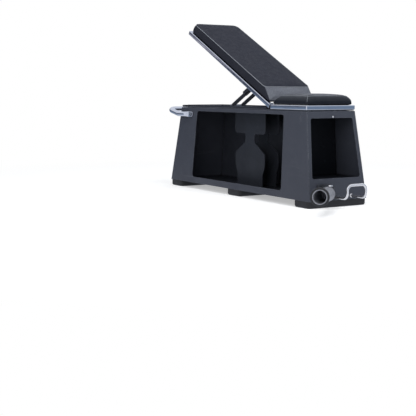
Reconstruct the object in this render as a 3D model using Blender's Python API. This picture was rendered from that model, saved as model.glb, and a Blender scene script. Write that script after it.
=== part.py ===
"""Utility bench: a flared sheet-steel storage cabinet with a seat and a propped backrest on top.

Metres, +Z up.  +X points to the seat end, +Y to the closed long side, and the origin lies on
the floor under the middle of the cabinet.  The backrest stands at its photographed angle.
"""
from math import asin, atan2, copysign, cos, degrees, pi, radians, sin

import bmesh
import bpy
from mathutils import Matrix, Vector

# Cabinet
TOP_LENGTH = 1.046        # cabinet length at its top edge
TOP_WIDTH = 0.266         # cabinet width at its top edge
CABINET_TOP = 0.411       # height of the top edge above the floor
SKID_HEIGHT = 0.030       # rubber skids under the cabinet
SIDE_FLARE = 0.067        # outward run of the long sides for each metre down
SEAT_END_FLARE = 0.158    # outward run of the seat end for each metre down
HEAD_END_FLARE = 0.183    # outward run of the head end for each metre down
SHEET = 0.003             # steel sheet thickness
GAP = 0.0003              # joint clearance between touching pieces

# Openings in the sheets
BAY_HALF_TOP = 0.366      # half length of the side opening at its top edge
BAY_FLARE = 0.046
BAY_LINTEL = 0.021        # from the top edge of the cabinet down to the side opening
BAY_SILL = 0.060
BAY_CORNER = 0.014
POCKET_BORDER = 0.021     # strip left on each side of the end opening
POCKET_LINTEL = 0.034     # from the top edge of the cabinet down to the end opening
POCKET_SILL = 0.123
POCKET_CORNER = 0.010
POCKET_FLOOR = 0.117
POCKET_DEPTH = 0.136      # from the top edge of the seat end back to the bulkhead

# Waisted web plates, a pair that stands lengthways in the bay and carries the tray
WEB_SPACING = 0.078
WEB_SHEET = 0.004
WEB_MIDDLE = -0.0315      # where the pair is centred along the cabinet
WEB_HALF = 0.1275
WEB_WAIST = 0.089         # how far the waist is cut in from each end
WEB_SHOULDER = 0.288      # heights of the outline's corners above the floor
WEB_WAIST_LOW = 0.248
WEB_HIP = 0.194
WEB_TOE = 0.128

# Tray that the prop folds into
TRAY_RISE = 0.009         # how far its walls stand above the cabinet top
TRAY_DEPTH = 0.012        # from the cabinet top down to the underside of its floor
TRAY_HALF_WIDTH = 0.1065
TRAY_HEAD_INSET = 0.018
TRAY_HINGE_INSET = 0.066
HEAD_REST_RISE = 0.0078   # strip across the head end, for the lowered backrest
HEAD_REST_WIDTH = 0.0135

# Square tube rails of the seat and of the backrest
RAIL = 0.020
RAIL_WALL = 0.002
HINGE_X = 0.261
BACK_OVERHANG = 0.008     # how far the lowered back frame passes the head end
BACK_ANGLE = 27.0         # photographed incline, in degrees

# Hinges between seat rail and back tubes
KNUCKLE_R = 0.0042
HINGE_PIN_R = 0.0022
LEAF = 0.0018
LEAF_LENGTH = 0.026
LEAF_WIDTH = 0.0126
KNUCKLES = 3

# Boards and cushions
BOARD = 0.0105
BOARD_SCREW_R = 0.003
BOARD_INSET = 0.015       # from the outer face of the rails in to the board's edge
BOARD_EDGE = 0.010        # from a cushion's end that faces the hinge in to its board
CUSHION_INSET = 0.005     # from the outer face of the rails in to the cushion's side
CUSHION_SIDE = 0.033      # height of the cushion's side, from board to seam
CUSHION_CROWN = 0.0045
CUSHION_SLOPE = 1.45      # run for each metre of height at the ends that face the hinge
CUSHION_DRAW = 0.004      # how far the sides draw in at the bottom
SEAT_TIP = 0.006          # from the hinge axis to the seat cushion's tip
BACK_TIP = 0.033          # from the hinge axis to the back cushion's lower edge
BACK_CUSHION_END = 0.012  # from the end of the back frame to the cushion's head end
BACK_CORNER = 0.022
SEAT_CORNER = 0.012

# Prop: two legs, a pivot pin and a foot rod
PROP_LENGTH = 0.256       # pivot to foot, and hinge to pivot along the frame
PROP_DROP = 0.0115        # pivot below the top of the back tubes
PROP_LEG_SPACING = 0.056
PROP_LEG_THICK = 0.008
PROP_LEG_WIDTH = 0.017
PROP_LEG_STEP = 0.132     # where the wide upper part of a leg ends
PROP_LEG_EXTRA = 0.0025
PROP_CHEEK = 0.009        # how far the wide part stands out sideways
PROP_CHEEK_LOW = 0.0055   # from the leg's middle line down to the wide part's lower edge
PROP_PIN_R = 0.004
FOOT_ROD_R = 0.006
FOOT_ROD_LENGTH = 0.084
CROSSBAR_THICK = 0.008
CROSSBAR_WIDTH = 0.034
CROSSBAR_LOW = 0.040      # hinge axis to the lower crossbar
CROSSBAR_HIGH = 0.700     # hinge axis to the upper crossbar
LUG_THICK = 0.004

# Toothed channel in the tray
TOOTH_PITCH = 0.030
TOOTH_COUNT = 10
TOOTH_DEPTH = 0.005
TOOTH_CLEARANCE = 0.0012  # the foot rod rides this far above the tooth tips
STRIP_THICK = 0.003
STRIP_Y = 0.034           # inner face of each toothed strip

# Transport handle at the head end
HANDLE_R = 0.0125
HANDLE_WALL = 0.002
HANDLE_DROP = 0.038       # from the top edge of the cabinet down to the handle's bolts
HANDLE_BOLT_X = -0.417
HANDLE_TIP = 0.0145       # bolt to the rounded end
HANDLE_RISE = 0.023
HANDLE_REACH = 0.109      # cross grip beyond the cabinet's top head edge
HANDLE_BEND_X = -0.525
HANDLE_CORNER = 0.045
HANDLE_FLAT = 0.005
HANDLE_FLAT_HALF = 0.0135
HANDLE_SIDE_GAP = 0.0012

# Bar socket that swivels at the seat end
SOCKET_REACH = 0.0435     # swivel axis in front of the end panel
SOCKET_Y = -0.075
SOCKET_Z = 0.070
SOCKET_YAW = -48.0        # photographed direction, in degrees from +X
SOCKET_TILT = 2.7         # photographed rise, in degrees
SOCKET_BORE_R = 0.0262
SOCKET_WALL = 0.004
SOCKET_LENGTH = 0.203     # depth of the bore
SOCKET_END = 0.005        # thickness of its closed end
SOCKET_PITCH_ARM = 0.046  # swivel axis to tilt axis
SOCKET_TONGUE = 0.018     # tilt axis to the closed end of the tube
SWIVEL_R = 0.017
SWIVEL_PIN_R = 0.006
TILT_PIN_R = 0.005
BRACKET_LUG = 0.005
BRACKET_HALF_GAP = 0.020
BRACKET_WIDTH = 0.068
FORK_GAP = 0.016
FORK_EAR = 0.007
RING_R = 0.038
RING_THICK = 0.014

# Strap hoop at the seat end
HOOP_R = 0.0058
HOOP_Z = 0.045
HOOP_Y = 0.0225           # middle of the hoop
HOOP_WIDTH = 0.101
HOOP_REACH = 0.093
HOOP_RISE = 0.0565
HOOP_BEND = 0.022
HOOP_COLLAR = 0.0035

# Worked out from the sizes above
BAY_TOP = CABINET_TOP - BAY_LINTEL
POCKET_TOP = CABINET_TOP - POCKET_LINTEL
HANDLE_Z = CABINET_TOP - HANDLE_DROP
RAIL_BOTTOM = CABINET_TOP + GAP
RAIL_TOP = RAIL_BOTTOM + RAIL
HINGE_Z = RAIL_TOP + KNUCKLE_R + GAP
TUBE_TOP = -(KNUCKLE_R + GAP)           # top of the back tubes, seen from the hinge axis
TUBE_BOTTOM = TUBE_TOP - RAIL
BACK_LENGTH = HINGE_X + TOP_LENGTH / 2 + BACK_OVERHANG
BOARD_BOTTOM = TUBE_TOP + GAP
BASE_Z = SKID_HEIGHT + GAP
PROP_N = TUBE_TOP - PROP_DROP           # prop pivot, seen from the hinge axis
TRAY_TOP = CABINET_TOP + TRAY_RISE
TRAY_FLOOR = CABINET_TOP - TRAY_DEPTH + SHEET
FOOT_Z = HINGE_Z + PROP_N
SOCKET_X = TOP_LENGTH / 2 + SEAT_END_FLARE * (CABINET_TOP - SOCKET_Z) + SOCKET_REACH


def prop_fold_angle(back_angle):
    """Angle in degrees between back frame and prop when the foot rod lies in the tray."""
    turn = radians(back_angle)
    height = PROP_LENGTH * sin(turn) + PROP_N * cos(turn) + HINGE_Z - FOOT_Z
    return back_angle + degrees(asin(height / PROP_LENGTH))


def side_y(z):
    return TOP_WIDTH / 2 + SIDE_FLARE * (CABINET_TOP - z)


def seat_end_x(z):
    return TOP_LENGTH / 2 + SEAT_END_FLARE * (CABINET_TOP - z)


def head_end_x(z):
    return -TOP_LENGTH / 2 - HEAD_END_FLARE * (CABINET_TOP - z)


def inner_y(z):
    return side_y(z) - SHEET - GAP


# Materials


def finish(name, colour, roughness, metallic=0.0):
    made = bpy.data.materials.new(name)
    made.use_nodes = True
    shader = made.node_tree.nodes["Principled BSDF"]
    shader.inputs["Base Color"].default_value = (*colour, 1.0)
    shader.inputs["Roughness"].default_value = roughness
    shader.inputs["Metallic"].default_value = metallic
    return made


def make_finishes():
    return {
        "powder_coat": finish("powder_coat", (0.055, 0.058, 0.075), 0.55),
        "chrome": finish("chrome", (0.80, 0.81, 0.83), 0.12, 1.0),
        "zinc": finish("zinc", (0.62, 0.63, 0.65), 0.35, 1.0),
        "vinyl": finish("vinyl", (0.060, 0.062, 0.070), 0.50),
        "board": finish("board", (0.016, 0.016, 0.017), 0.75),
        "rubber": finish("rubber", (0.030, 0.030, 0.032), 0.85),
        "black_steel": finish("black_steel", (0.035, 0.036, 0.042), 0.45, 0.3),
    }


# Shape helpers


def body(name, verts, faces, material, parent=None, smooth_angle=None):
    """A mesh object from points and faces, with its faces turned outwards."""
    mesh = bpy.data.meshes.new(name)
    mesh.from_pydata([tuple(v) for v in verts], [], faces)
    shell = bmesh.new()
    shell.from_mesh(mesh)
    bmesh.ops.recalc_face_normals(shell, faces=shell.faces)
    shell.to_mesh(mesh)
    shell.free()
    mesh.update()
    made = bpy.data.objects.new(name, mesh)
    bpy.context.scene.collection.objects.link(made)
    if material:
        mesh.materials.append(material)
    if smooth_angle:
        mesh.shade_smooth()
        mesh.set_sharp_from_angle(angle=radians(smooth_angle))
    made.parent = parent
    return made


def copies(name, shapes, material, parent=None, smooth_angle=None):
    """The same piece in several places, each copy an object of its own."""
    return [body(f"{name}_{i}", *shape, material, parent, smooth_angle)
            for i, shape in enumerate(shapes, 1)]


def loft(rings):
    """Closed shape through rings of equal point count, capped at both ends."""
    count = len(rings[0])
    verts = [p for ring in rings for p in ring]
    faces = [tuple(range(count))]
    for r in range(len(rings) - 1):
        for i in range(count):
            j = (i + 1) % count
            faces.append((r * count + i, r * count + j, (r + 1) * count + j, (r + 1) * count + i))
    faces.append(tuple((len(rings) - 1) * count + i for i in range(count)))
    return verts, faces


def box(low, high):
    x0, y0, z0 = low
    x1, y1, z1 = high
    return loft([[(x0, y0, z), (x1, y0, z), (x1, y1, z), (x0, y1, z)] for z in (z0, z1)])


def prism(outline, axis, low, high):
    """An outline of two coordinates, carried along the axis left out (0, 1 or 2)."""
    def place(a, b, c):
        point = [a, b]
        point.insert(axis, c)
        return tuple(point)
    return loft([[place(a, b, c) for a, b in outline] for c in (low, high)])


def rounded(points, radius, steps=4):
    """The outline with every corner replaced by an arc."""
    out = []
    count = len(points)
    for i in range(count):
        here = Vector(points[i])
        back = (Vector(points[i - 1]) - here).normalized()
        ahead = (Vector(points[(i + 1) % count]) - here).normalized()
        half = back.angle(ahead) / 2
        reach = radius / sin(half) * cos(half)
        centre = here + (back + ahead).normalized() * radius / sin(half)
        start = here + back * reach - centre
        sweep = start.angle_signed(here + ahead * reach - centre)
        for s in range(steps + 1):
            turn = Matrix.Rotation(-sweep * s / steps, 2)
            out.append(tuple(centre + turn @ start))
    return out


def circle(radius, count, first=0.0):
    return [(radius * cos(first + 2 * pi * i / count), radius * sin(first + 2 * pi * i / count))
            for i in range(count)]


def rod(start, end, radius, count=16):
    """A round bar between two points."""
    start, end = Vector(start), Vector(end)
    turn = (end - start).to_track_quat("Z", "Y")
    ring = [turn @ Vector((a, b, 0)) for a, b in circle(radius, count, pi / count)]
    return loft([[tuple(centre + p) for p in ring] for centre in (start, end)])


def turned(start, axis, profile, count=24):
    """A turned shape: the profile lists (distance along the axis, radius)."""
    start = Vector(start)
    turn = Vector(axis).to_track_quat("Z", "Y")
    rings = []
    for along, radius in profile:
        rings.append([tuple(start + turn @ Vector((a, b, along)))
                      for a, b in circle(radius, count, pi / count)])
    return loft(rings)


def hex_bolt(head_at, axis, head_r, head_h, shank_r, shank_length):
    """Head and shank in one shape.  The head's seat is at head_at and the axis leaves it."""
    return turned(head_at, axis, [(-shank_length, shank_r), (0.0, shank_r), (0.0, head_r),
                                  (head_h * 0.75, head_r), (head_h, head_r * 0.8)], 12)


def filleted_path(points, radius, steps=6):
    """A path whose inner corners are arcs of the given radius."""
    out = [Vector(points[0])]
    for i in range(1, len(points) - 1):
        here = Vector(points[i])
        back = (Vector(points[i - 1]) - here).normalized()
        ahead = (Vector(points[i + 1]) - here).normalized()
        half = back.angle(ahead) / 2
        reach = radius * cos(half) / sin(half)
        centre = here + (back + ahead).normalized() * radius / sin(half)
        start = here + back * reach - centre
        end = here + ahead * reach - centre
        axis = start.cross(end)
        sweep = start.angle(end)
        for s in range(steps + 1):
            out.append(centre + Matrix.Rotation(sweep * s / steps, 3, axis) @ start)
    out.append(Vector(points[-1]))
    return out


def swept(path, outline_at):
    """Rings along a path; outline_at(i) gives the section at point i as (sideways, upward)."""
    rings = []
    for i, here in enumerate(path):
        before = path[max(i - 1, 0)]
        after = path[min(i + 1, len(path) - 1)]
        ahead = ((here - before).normalized() + (after - here).normalized()).normalized() \
            if 0 < i < len(path) - 1 else (after - before).normalized()
        side = ahead.cross(Vector((0, 0, 1)))
        if side.length < 1e-6:
            side = Vector((0, 1, 0))
        side.normalize()
        if rings and side.dot(last_side) < 0:
            side = -side
        last_side = side
        up = side.cross(ahead).normalized()
        if rings and up.dot(last_up) < 0:
            up = -up
        last_up = up
        rings.append([tuple(here + side * a + up * b) for a, b in outline_at(i)])
    return loft(rings)


def boolean(target, other, operation):
    step = target.modifiers.new(f"{operation.lower()}_{other.name}", "BOOLEAN")
    step.operation = operation
    step.solver = "EXACT"
    step.object = other
    other.hide_render = True
    other.display_type = "WIRE"
    return target


def cut(target, name, shape):
    return boolean(target, body(name, *shape, None, target.parent), "DIFFERENCE")


def fuse(target, name, shape):
    return boolean(target, body(name, *shape, None, target.parent), "UNION")


def square_tube(rings_outer, wall_inset, name, material, parent):
    """A hollow square tube from its two end sections; wall_inset moves a corner inwards."""
    verts = []
    for ring in rings_outer:
        verts.extend(ring)
        verts.extend(wall_inset(ring))
    faces = []
    for i in range(4):
        j = (i + 1) % 4
        faces.append((i, j, 8 + j, 8 + i))
        faces.append((4 + i, 4 + j, 12 + j, 12 + i))
        faces.append((i, j, 4 + j, 4 + i))
        faces.append((8 + i, 8 + j, 12 + j, 12 + i))
    return body(name, verts, faces, material, parent)


def mitred_rail(name, along, low, high, across, top, mitre_low, mitre_high, material, parent):
    """A square tube along X ('x') or Y ('y').  Its outer side is at across, and a mitre
    shortens the inner side by the rail's width at that end."""
    inward = -1.0 if across > 0 else 1.0

    def section(at, mitre, outward):
        corners = []
        for inner, height in ((0, 0), (1, 0), (1, 1), (0, 1)):
            offset = across + inward * inner * RAIL
            position = at - outward * mitre * inner * RAIL
            z = top - RAIL + height * RAIL
            corners.append((position, offset, z) if along == "x" else (offset, position, z))
        return corners

    def inset(ring):
        wall = RAIL_WALL / RAIL
        centre = [sum(p[k] for p in ring) / 4 for k in range(3)]
        return [tuple(c + (p - c) * (1 - 2 * wall) for p, c in zip(point, centre)) for point in ring]

    rings = [section(low, mitre_low, -1.0), section(high, mitre_high, 1.0)]
    return square_tube(rings, inset, name, material, parent)


# Cabinet


def make_cabinet(finishes):
    paint = finishes["powder_coat"]
    z0, z1 = BASE_Z, CABINET_TOP

    for side, name in ((-1, "side_panel_near"), (1, "side_panel_far")):
        rings = []
        for z in (z0, z1):
            outer = side * side_y(z)
            inner = side * (side_y(z) - SHEET)
            rings.append([(head_end_x(z), outer, z), (seat_end_x(z), outer, z),
                          (seat_end_x(z), inner, z), (head_end_x(z), inner, z)])
        panel = body(name, *loft(rings), paint)
        if side < 0:
            low_half = BAY_HALF_TOP + BAY_FLARE * (BAY_TOP - BAY_SILL)
            window = [(-low_half, BAY_SILL), (low_half, BAY_SILL),
                      (BAY_HALF_TOP, BAY_TOP), (-BAY_HALF_TOP, BAY_TOP)]
            cutter = prism(rounded(window, BAY_CORNER), 1, -side_y(z0) - 0.01, -TOP_WIDTH / 2 + 0.02)
            cut(panel, "bay_cutter", cutter)

    for end_x, inward, name in ((seat_end_x, -1, "end_panel_seat"), (head_end_x, 1, "end_panel_head")):
        rings = []
        for z in (z0, z1):
            half = inner_y(z)
            outer = end_x(z)
            inner = outer + inward * SHEET
            rings.append([(outer, -half, z), (outer, half, z), (inner, half, z), (inner, -half, z)])
        panel = body(name, *loft(rings), paint)
        if end_x is seat_end_x:
            low_half = side_y(POCKET_SILL) - POCKET_BORDER
            top_half = side_y(POCKET_TOP) - POCKET_BORDER
            window = [(-low_half, POCKET_SILL), (low_half, POCKET_SILL),
                      (top_half, POCKET_TOP), (-top_half, POCKET_TOP)]
            cutter = prism(rounded(window, POCKET_CORNER), 0, TOP_LENGTH / 2 - 0.02,
                           seat_end_x(z0) + 0.01)
            cut(panel, "pocket_cutter", cutter)

    half = inner_y(CABINET_TOP)
    deck = body("top_deck", *box((head_end_x(z1) + SHEET + GAP, -half, z1 - SHEET),
                                 (seat_end_x(z1) - SHEET - GAP, half, z1)), paint)
    tray_head, tray_hinge = tray_ends()
    cut(deck, "tray_cutter", box((tray_head - GAP, -TRAY_HALF_WIDTH - GAP, z1 - 0.02),
                                 (tray_hinge + GAP, TRAY_HALF_WIDTH + GAP, z1 + 0.02)))
    for i, (x, y) in enumerate(seat_bolt_places()):
        cut(deck, f"bolt_hole_cutter_{i}", rod((x, y, z1 - 0.02), (x, y, z1 + 0.01), 0.0046, 12))

    plate_top = z0 + SHEET
    body("bottom_plate", *box((head_end_x(plate_top) + SHEET + GAP, -inner_y(plate_top), z0),
                              (seat_end_x(plate_top) - SHEET - GAP, inner_y(plate_top), plate_top)),
         paint)

    tray = body("prop_tray", *box((tray_head, -TRAY_HALF_WIDTH, TRAY_FLOOR - SHEET),
                                  (tray_hinge, TRAY_HALF_WIDTH, TRAY_TOP)), paint)
    cut(tray, "tray_hollow", box((tray_head + SHEET, -TRAY_HALF_WIDTH + SHEET, TRAY_FLOOR),
                                 (tray_hinge - SHEET, TRAY_HALF_WIDTH - SHEET, TRAY_TOP + 0.02)))

    low, high = CABINET_TOP + GAP, CABINET_TOP + HEAD_REST_RISE
    outline = [(-half, low), (half, low), (half, high - 0.004), (half - 0.003, high),
               (-half + 0.003, high), (-half, high - 0.004)]
    rest_at = head_end_x(CABINET_TOP)
    body("head_rest_strip", *prism(outline, 0, rest_at, rest_at + HEAD_REST_WIDTH), paint)

    bulkhead = bulkhead_x()
    low, high = plate_top + GAP, CABINET_TOP - SHEET - GAP
    outline = [(-inner_y(low), low), (inner_y(low), low), (inner_y(high), high), (-inner_y(high), high)]
    body("pocket_bulkhead", *prism(outline, 0, bulkhead - SHEET, bulkhead), paint)
    shelf = POCKET_FLOOR
    body("pocket_floor", *box((bulkhead + GAP, -inner_y(shelf), shelf - SHEET),
                              (seat_end_x(shelf) - SHEET - GAP, inner_y(shelf), shelf)), paint)


def tray_ends():
    return head_end_x(CABINET_TOP) + TRAY_HEAD_INSET, HINGE_X - TRAY_HINGE_INSET


def bulkhead_x():
    return TOP_LENGTH / 2 - POCKET_DEPTH


def seat_bolt_places():
    near, far = HINGE_X + 0.060, TOP_LENGTH / 2 - 0.060
    return [(x, y) for x in (near, far) for y in (-0.070, 0.070)]


def make_webs(finishes):
    low, high = BASE_Z + SHEET + GAP, TRAY_FLOOR - SHEET - GAP
    waist = WEB_HALF - WEB_WAIST
    half = [(WEB_HALF - 0.022, low), (WEB_HALF - 0.022, WEB_TOE - 0.032)]
    half += [(WEB_HALF - 0.018, WEB_TOE - 0.024), (WEB_HALF - 0.007, WEB_TOE)]
    half += [(WEB_HALF - 0.004, WEB_TOE + 0.020), (WEB_HALF - 0.004, WEB_HIP)]
    half += [(waist, WEB_WAIST_LOW), (waist, WEB_SHOULDER - 0.008), (waist + 0.008, WEB_SHOULDER)]
    half += [(WEB_HALF - 0.016, WEB_SHOULDER), (WEB_HALF - 0.005, WEB_SHOULDER + 0.005)]
    half += [(WEB_HALF, WEB_SHOULDER + 0.016), (WEB_HALF, high)]
    outline = [(WEB_MIDDLE + x, z) for x, z in half]
    outline += [(WEB_MIDDLE - x, z) for x, z in reversed(half)]
    for side, name in ((-1, "web_plate_near"), (1, "web_plate_far")):
        middle = side * WEB_SPACING / 2
        shape = prism(outline, 1, middle - WEB_SHEET / 2, middle + WEB_SHEET / 2)
        body(name, *shape, finishes["powder_coat"])


def skid_ring(x_low, x_high, half, inset, z):
    corners = [(x_low, -half), (x_high, -half), (x_high, half), (x_low, half)]
    corners = [(x + copysign(inset, (x_low + x_high) / 2 - x), y - copysign(inset, y)) for x, y in corners]
    return [(x, y, z) for x, y in rounded(corners, 0.018 - inset, 5)]


def make_skids(finishes):
    half = side_y(BASE_Z)
    length = 0.110
    seat, head = seat_end_x(BASE_Z), head_end_x(BASE_Z)
    spans = (("skid_seat_end", seat - length, seat), ("skid_middle", -length / 2, length / 2),
             ("skid_head_end", head, head + length))
    for name, low, high in spans:
        rings = [skid_ring(low, high, half, inset, z)
                 for inset, z in ((0.007, 0.0), (0.0025, 0.0025), (0.0, 0.008), (0.0, SKID_HEIGHT))]
        body(name, *loft(rings), finishes["rubber"], None, 40)


def make_seat(finishes):
    end = TOP_LENGTH / 2
    half = TOP_WIDTH / 2
    chrome = finishes["chrome"]
    start = HINGE_X + 0.002
    mitre = 1.0
    slack = GAP / 2
    for side, name in ((-1, "seat_rail_near"), (1, "seat_rail_far")):
        mitred_rail(name, "x", start, end - slack, side * half, RAIL_TOP, 0.0, mitre, chrome, None)
    mitred_rail("seat_rail_end", "y", -half + slack, half - slack, end, RAIL_TOP, mitre, mitre, chrome,
                None)

    board_half = half - BOARD_INSET
    bottom = RAIL_TOP + GAP
    span = (HINGE_X + SEAT_TIP + BOARD_EDGE, end - BOARD_INSET)
    body("seat_board", *board_shape(span, board_half, 0.012, bottom, 0.0), finishes["board"])
    shape = cushion(HINGE_X + SEAT_TIP, end - CUSHION_INSET, half - CUSHION_INSET, bottom,
                    slope_low=True, corner_low=0.008, corner_high=SEAT_CORNER)
    pad = body("seat_cushion", *shape, finishes["vinyl"], None, 40)
    cut(pad, "seat_board_pocket", board_shape(span, board_half, 0.012, bottom, GAP))
    leaf_end = HINGE_X + LEAF_LENGTH + 0.0015
    for side in (-1, 1):
        y0, y1 = sorted((side * (half + 0.01), side * (half - 0.0015 - LEAF_WIDTH - GAP)))
        cut(pad, f"leaf_notch_{side + 1}", box((HINGE_X, y0, bottom - 0.01),
                                               (leaf_end, y1, bottom + LEAF + GAP)))
    bolts = []
    for x, y in seat_bolt_places():
        bolts.append(hex_bolt((x, y, CABINET_TOP - SHEET - GAP), (0, 0, -1), 0.0075, 0.0055, 0.004,
                              bottom - GAP - (CABINET_TOP - SHEET - GAP)))
    copies("seat_bolt", bolts, finishes["zinc"])


def board_shape(span, half, corner, bottom, grow):
    """A cushion's board, or with grow the pocket for it in the cushion's underside."""
    low, high, wide = span[0] - grow, span[1] + grow, half + grow
    outline = [(low, -wide), (high, -wide), (high, wide), (low, wide)]
    start = bottom - (0.01 if grow else 0.0)
    return prism(rounded(outline, corner + grow), 2, start, bottom + BOARD + grow)


def cushion(x_low, x_high, half, bottom, slope_low=False, slope_high=False, corner_low=0.02,
            corner_high=0.02):
    """A crowned pad whose sides wrap its board and draw in at the bottom.  Above the board a
    sloped end leans back over the pad as it rises."""
    skirt = BOARD + GAP
    # height as a share of the side, inward shift of the outline
    side = [(0.0, CUSHION_DRAW), (0.08, CUSHION_DRAW * 0.4), (0.25, 0.0), (0.75, 0.0), (1.0, 0.0015)]
    crown = [(0.006, 0.30), (0.016, 0.58), (0.034, 0.80), (0.062, 0.95), (0.095, 1.0)]
    rings = []

    def ring(height, inset, rise):
        lean = CUSHION_SLOPE * max(0.0, height - skirt)
        low = x_low + inset + (lean if slope_low else 0.0)
        high = x_high - inset - (lean if slope_high else 0.0)
        width = half - inset
        r_low = max(corner_low - inset, 0.003)
        r_high = max(corner_high - inset, 0.003)
        outline = []
        for cx, cy, r, first in ((high - r_high, width - r_high, r_high, 0.0),
                                 (low + r_low, width - r_low, r_low, pi / 2),
                                 (low + r_low, -width + r_low, r_low, pi),
                                 (high - r_high, -width + r_high, r_high, 3 * pi / 2)):
            for s in range(6):
                turn = first + pi / 2 * s / 5
                outline.append((cx + r * cos(turn), cy + r * sin(turn)))
        rings.append([(x, y, bottom + height + rise) for x, y in split_long_runs(outline)])

    for share, inset in side:
        ring((skirt + CUSHION_SIDE) * share, inset, 0.0)
    for inset, share in crown:
        ring(skirt + CUSHION_SIDE, inset, CUSHION_CROWN * share)
    return loft(rings)


def split_long_runs(outline):
    """Adds points on the four straight runs between corner arcs."""
    out = []
    count = len(outline)
    for i, here in enumerate(outline):
        out.append(here)
        if i % 6 == 5:
            there = outline[(i + 1) % count]
            for s in range(1, 6):
                share = s / 6
                out.append(tuple(a + (b - a) * share for a, b in zip(here, there)))
    return out


# Backrest, modelled lowered flat and turned by its pivot


def make_back(finishes, pivot):
    half = TOP_WIDTH / 2
    chrome = finishes["chrome"]
    slack = GAP / 2
    for side, name in ((-1, "back_tube_near"), (1, "back_tube_far")):
        mitred_rail(name, "x", -BACK_LENGTH + slack, -0.002, side * half, TUBE_TOP, 1.0, 0.0, chrome,
                    pivot)
    mitred_rail("back_tube_head", "y", -half + slack, half - slack, -BACK_LENGTH, TUBE_TOP, 1.0, 1.0,
                chrome, pivot)

    inside = half - RAIL - GAP
    steel = finishes["black_steel"]
    bar_top = TUBE_TOP - GAP
    bar_bottom = bar_top - CROSSBAR_THICK
    bars = []
    for name, near_end in (("lower_crossbar", -CROSSBAR_LOW), ("upper_crossbar", -CROSSBAR_HIGH)):
        bars.append(body(name, *box((near_end - CROSSBAR_WIDTH, -inside, bar_bottom),
                                    (near_end, inside, bar_top)), steel, pivot))
    bar_start = -PROP_LENGTH + 0.016
    prop_bar = body("prop_crossbar", *box((bar_start, -inside, bar_bottom),
                                          (bar_start + CROSSBAR_WIDTH, inside, bar_top)), steel, pivot)
    inner = PROP_LEG_SPACING / 2 - PROP_LEG_THICK / 2 - GAP * 2
    for i, side in enumerate((-1, 1)):
        y0, y1 = sorted((side * inner, side * (inner - LUG_THICK)))
        ear = [(-PROP_LENGTH - 0.009, PROP_N - 0.008), (-PROP_LENGTH + 0.010, PROP_N - 0.008)]
        ear += [(bar_start + CROSSBAR_WIDTH - 0.002, bar_bottom + 0.002)]
        ear += [(bar_start + 0.001, bar_top - 0.001), (-PROP_LENGTH - 0.009, bar_top - 0.001)]
        fuse(prop_bar, f"prop_lug_{i}", prism(ear, 1, y0, y1))
    cut(prop_bar, "prop_pin_bore", rod((-PROP_LENGTH, -0.06, PROP_N), (-PROP_LENGTH, 0.06, PROP_N),
                                       PROP_PIN_R + GAP, 16))
    outer = PROP_LEG_SPACING / 2 + PROP_LEG_THICK / 2 + PROP_CHEEK + GAP
    pin = turned((-PROP_LENGTH, -outer - 0.003, PROP_N), (0, 1, 0),
                 [(0, 0.0062), (0.003, 0.0062), (0.003, PROP_PIN_R), (outer * 2 + 0.003, PROP_PIN_R),
                  (outer * 2 + 0.003, 0.0062), (outer * 2 + 0.006, 0.0062)], 16)
    body("prop_pin", *pin, finishes["zinc"], pivot, 40)

    board_half = half - BOARD_INSET
    span = (-BACK_LENGTH + BACK_CUSHION_END + 0.012, -BACK_TIP - BOARD_EDGE)
    shape = board_shape(span, board_half, 0.020, BOARD_BOTTOM, 0.0)
    board = body("back_board", *shape, finishes["board"], pivot)
    screws = []
    for bar, near_end in zip(bars, (-CROSSBAR_LOW, -CROSSBAR_HIGH)):
        for y in (-0.080, 0.080):
            x = near_end - CROSSBAR_WIDTH / 2
            hole_end = BOARD_BOTTOM + BOARD * 0.7 + GAP
            hole = rod((x, y, bar_bottom - 0.01), (x, y, hole_end), BOARD_SCREW_R + GAP, 12)
            cut(bar, "screw_hole", hole)
            cut(board, "screw_hole", hole)
            shank = BOARD_BOTTOM + BOARD * 0.7 - bar_bottom
            screws.append(turned((x, y, bar_bottom - GAP), (0, 0, -1),
                                 [(-shank, BOARD_SCREW_R), (0, BOARD_SCREW_R), (0, 0.0065),
                                  (0.0018, 0.0062), (0.0034, 0.0035)], 12))
    copies("back_board_screw", screws, finishes["zinc"], pivot, 30)
    shape = cushion(-BACK_LENGTH + BACK_CUSHION_END, -BACK_TIP, half - CUSHION_INSET, BOARD_BOTTOM,
                    slope_high=True, corner_low=BACK_CORNER, corner_high=0.010)
    pad = body("back_cushion", *shape, finishes["vinyl"], pivot, 40)
    cut(pad, "back_board_pocket", board_shape(span, board_half, 0.020, BOARD_BOTTOM, GAP))


def knuckle_span(side, first, last):
    """Where a run of knuckles lies across the bench, counted from the rail's outer side."""
    width = LEAF_WIDTH / KNUCKLES
    outer = TOP_WIDTH / 2 - 0.0015
    return sorted((side * (outer - first * width - GAP / 2), side * (outer - last * width + GAP / 2)))


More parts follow.
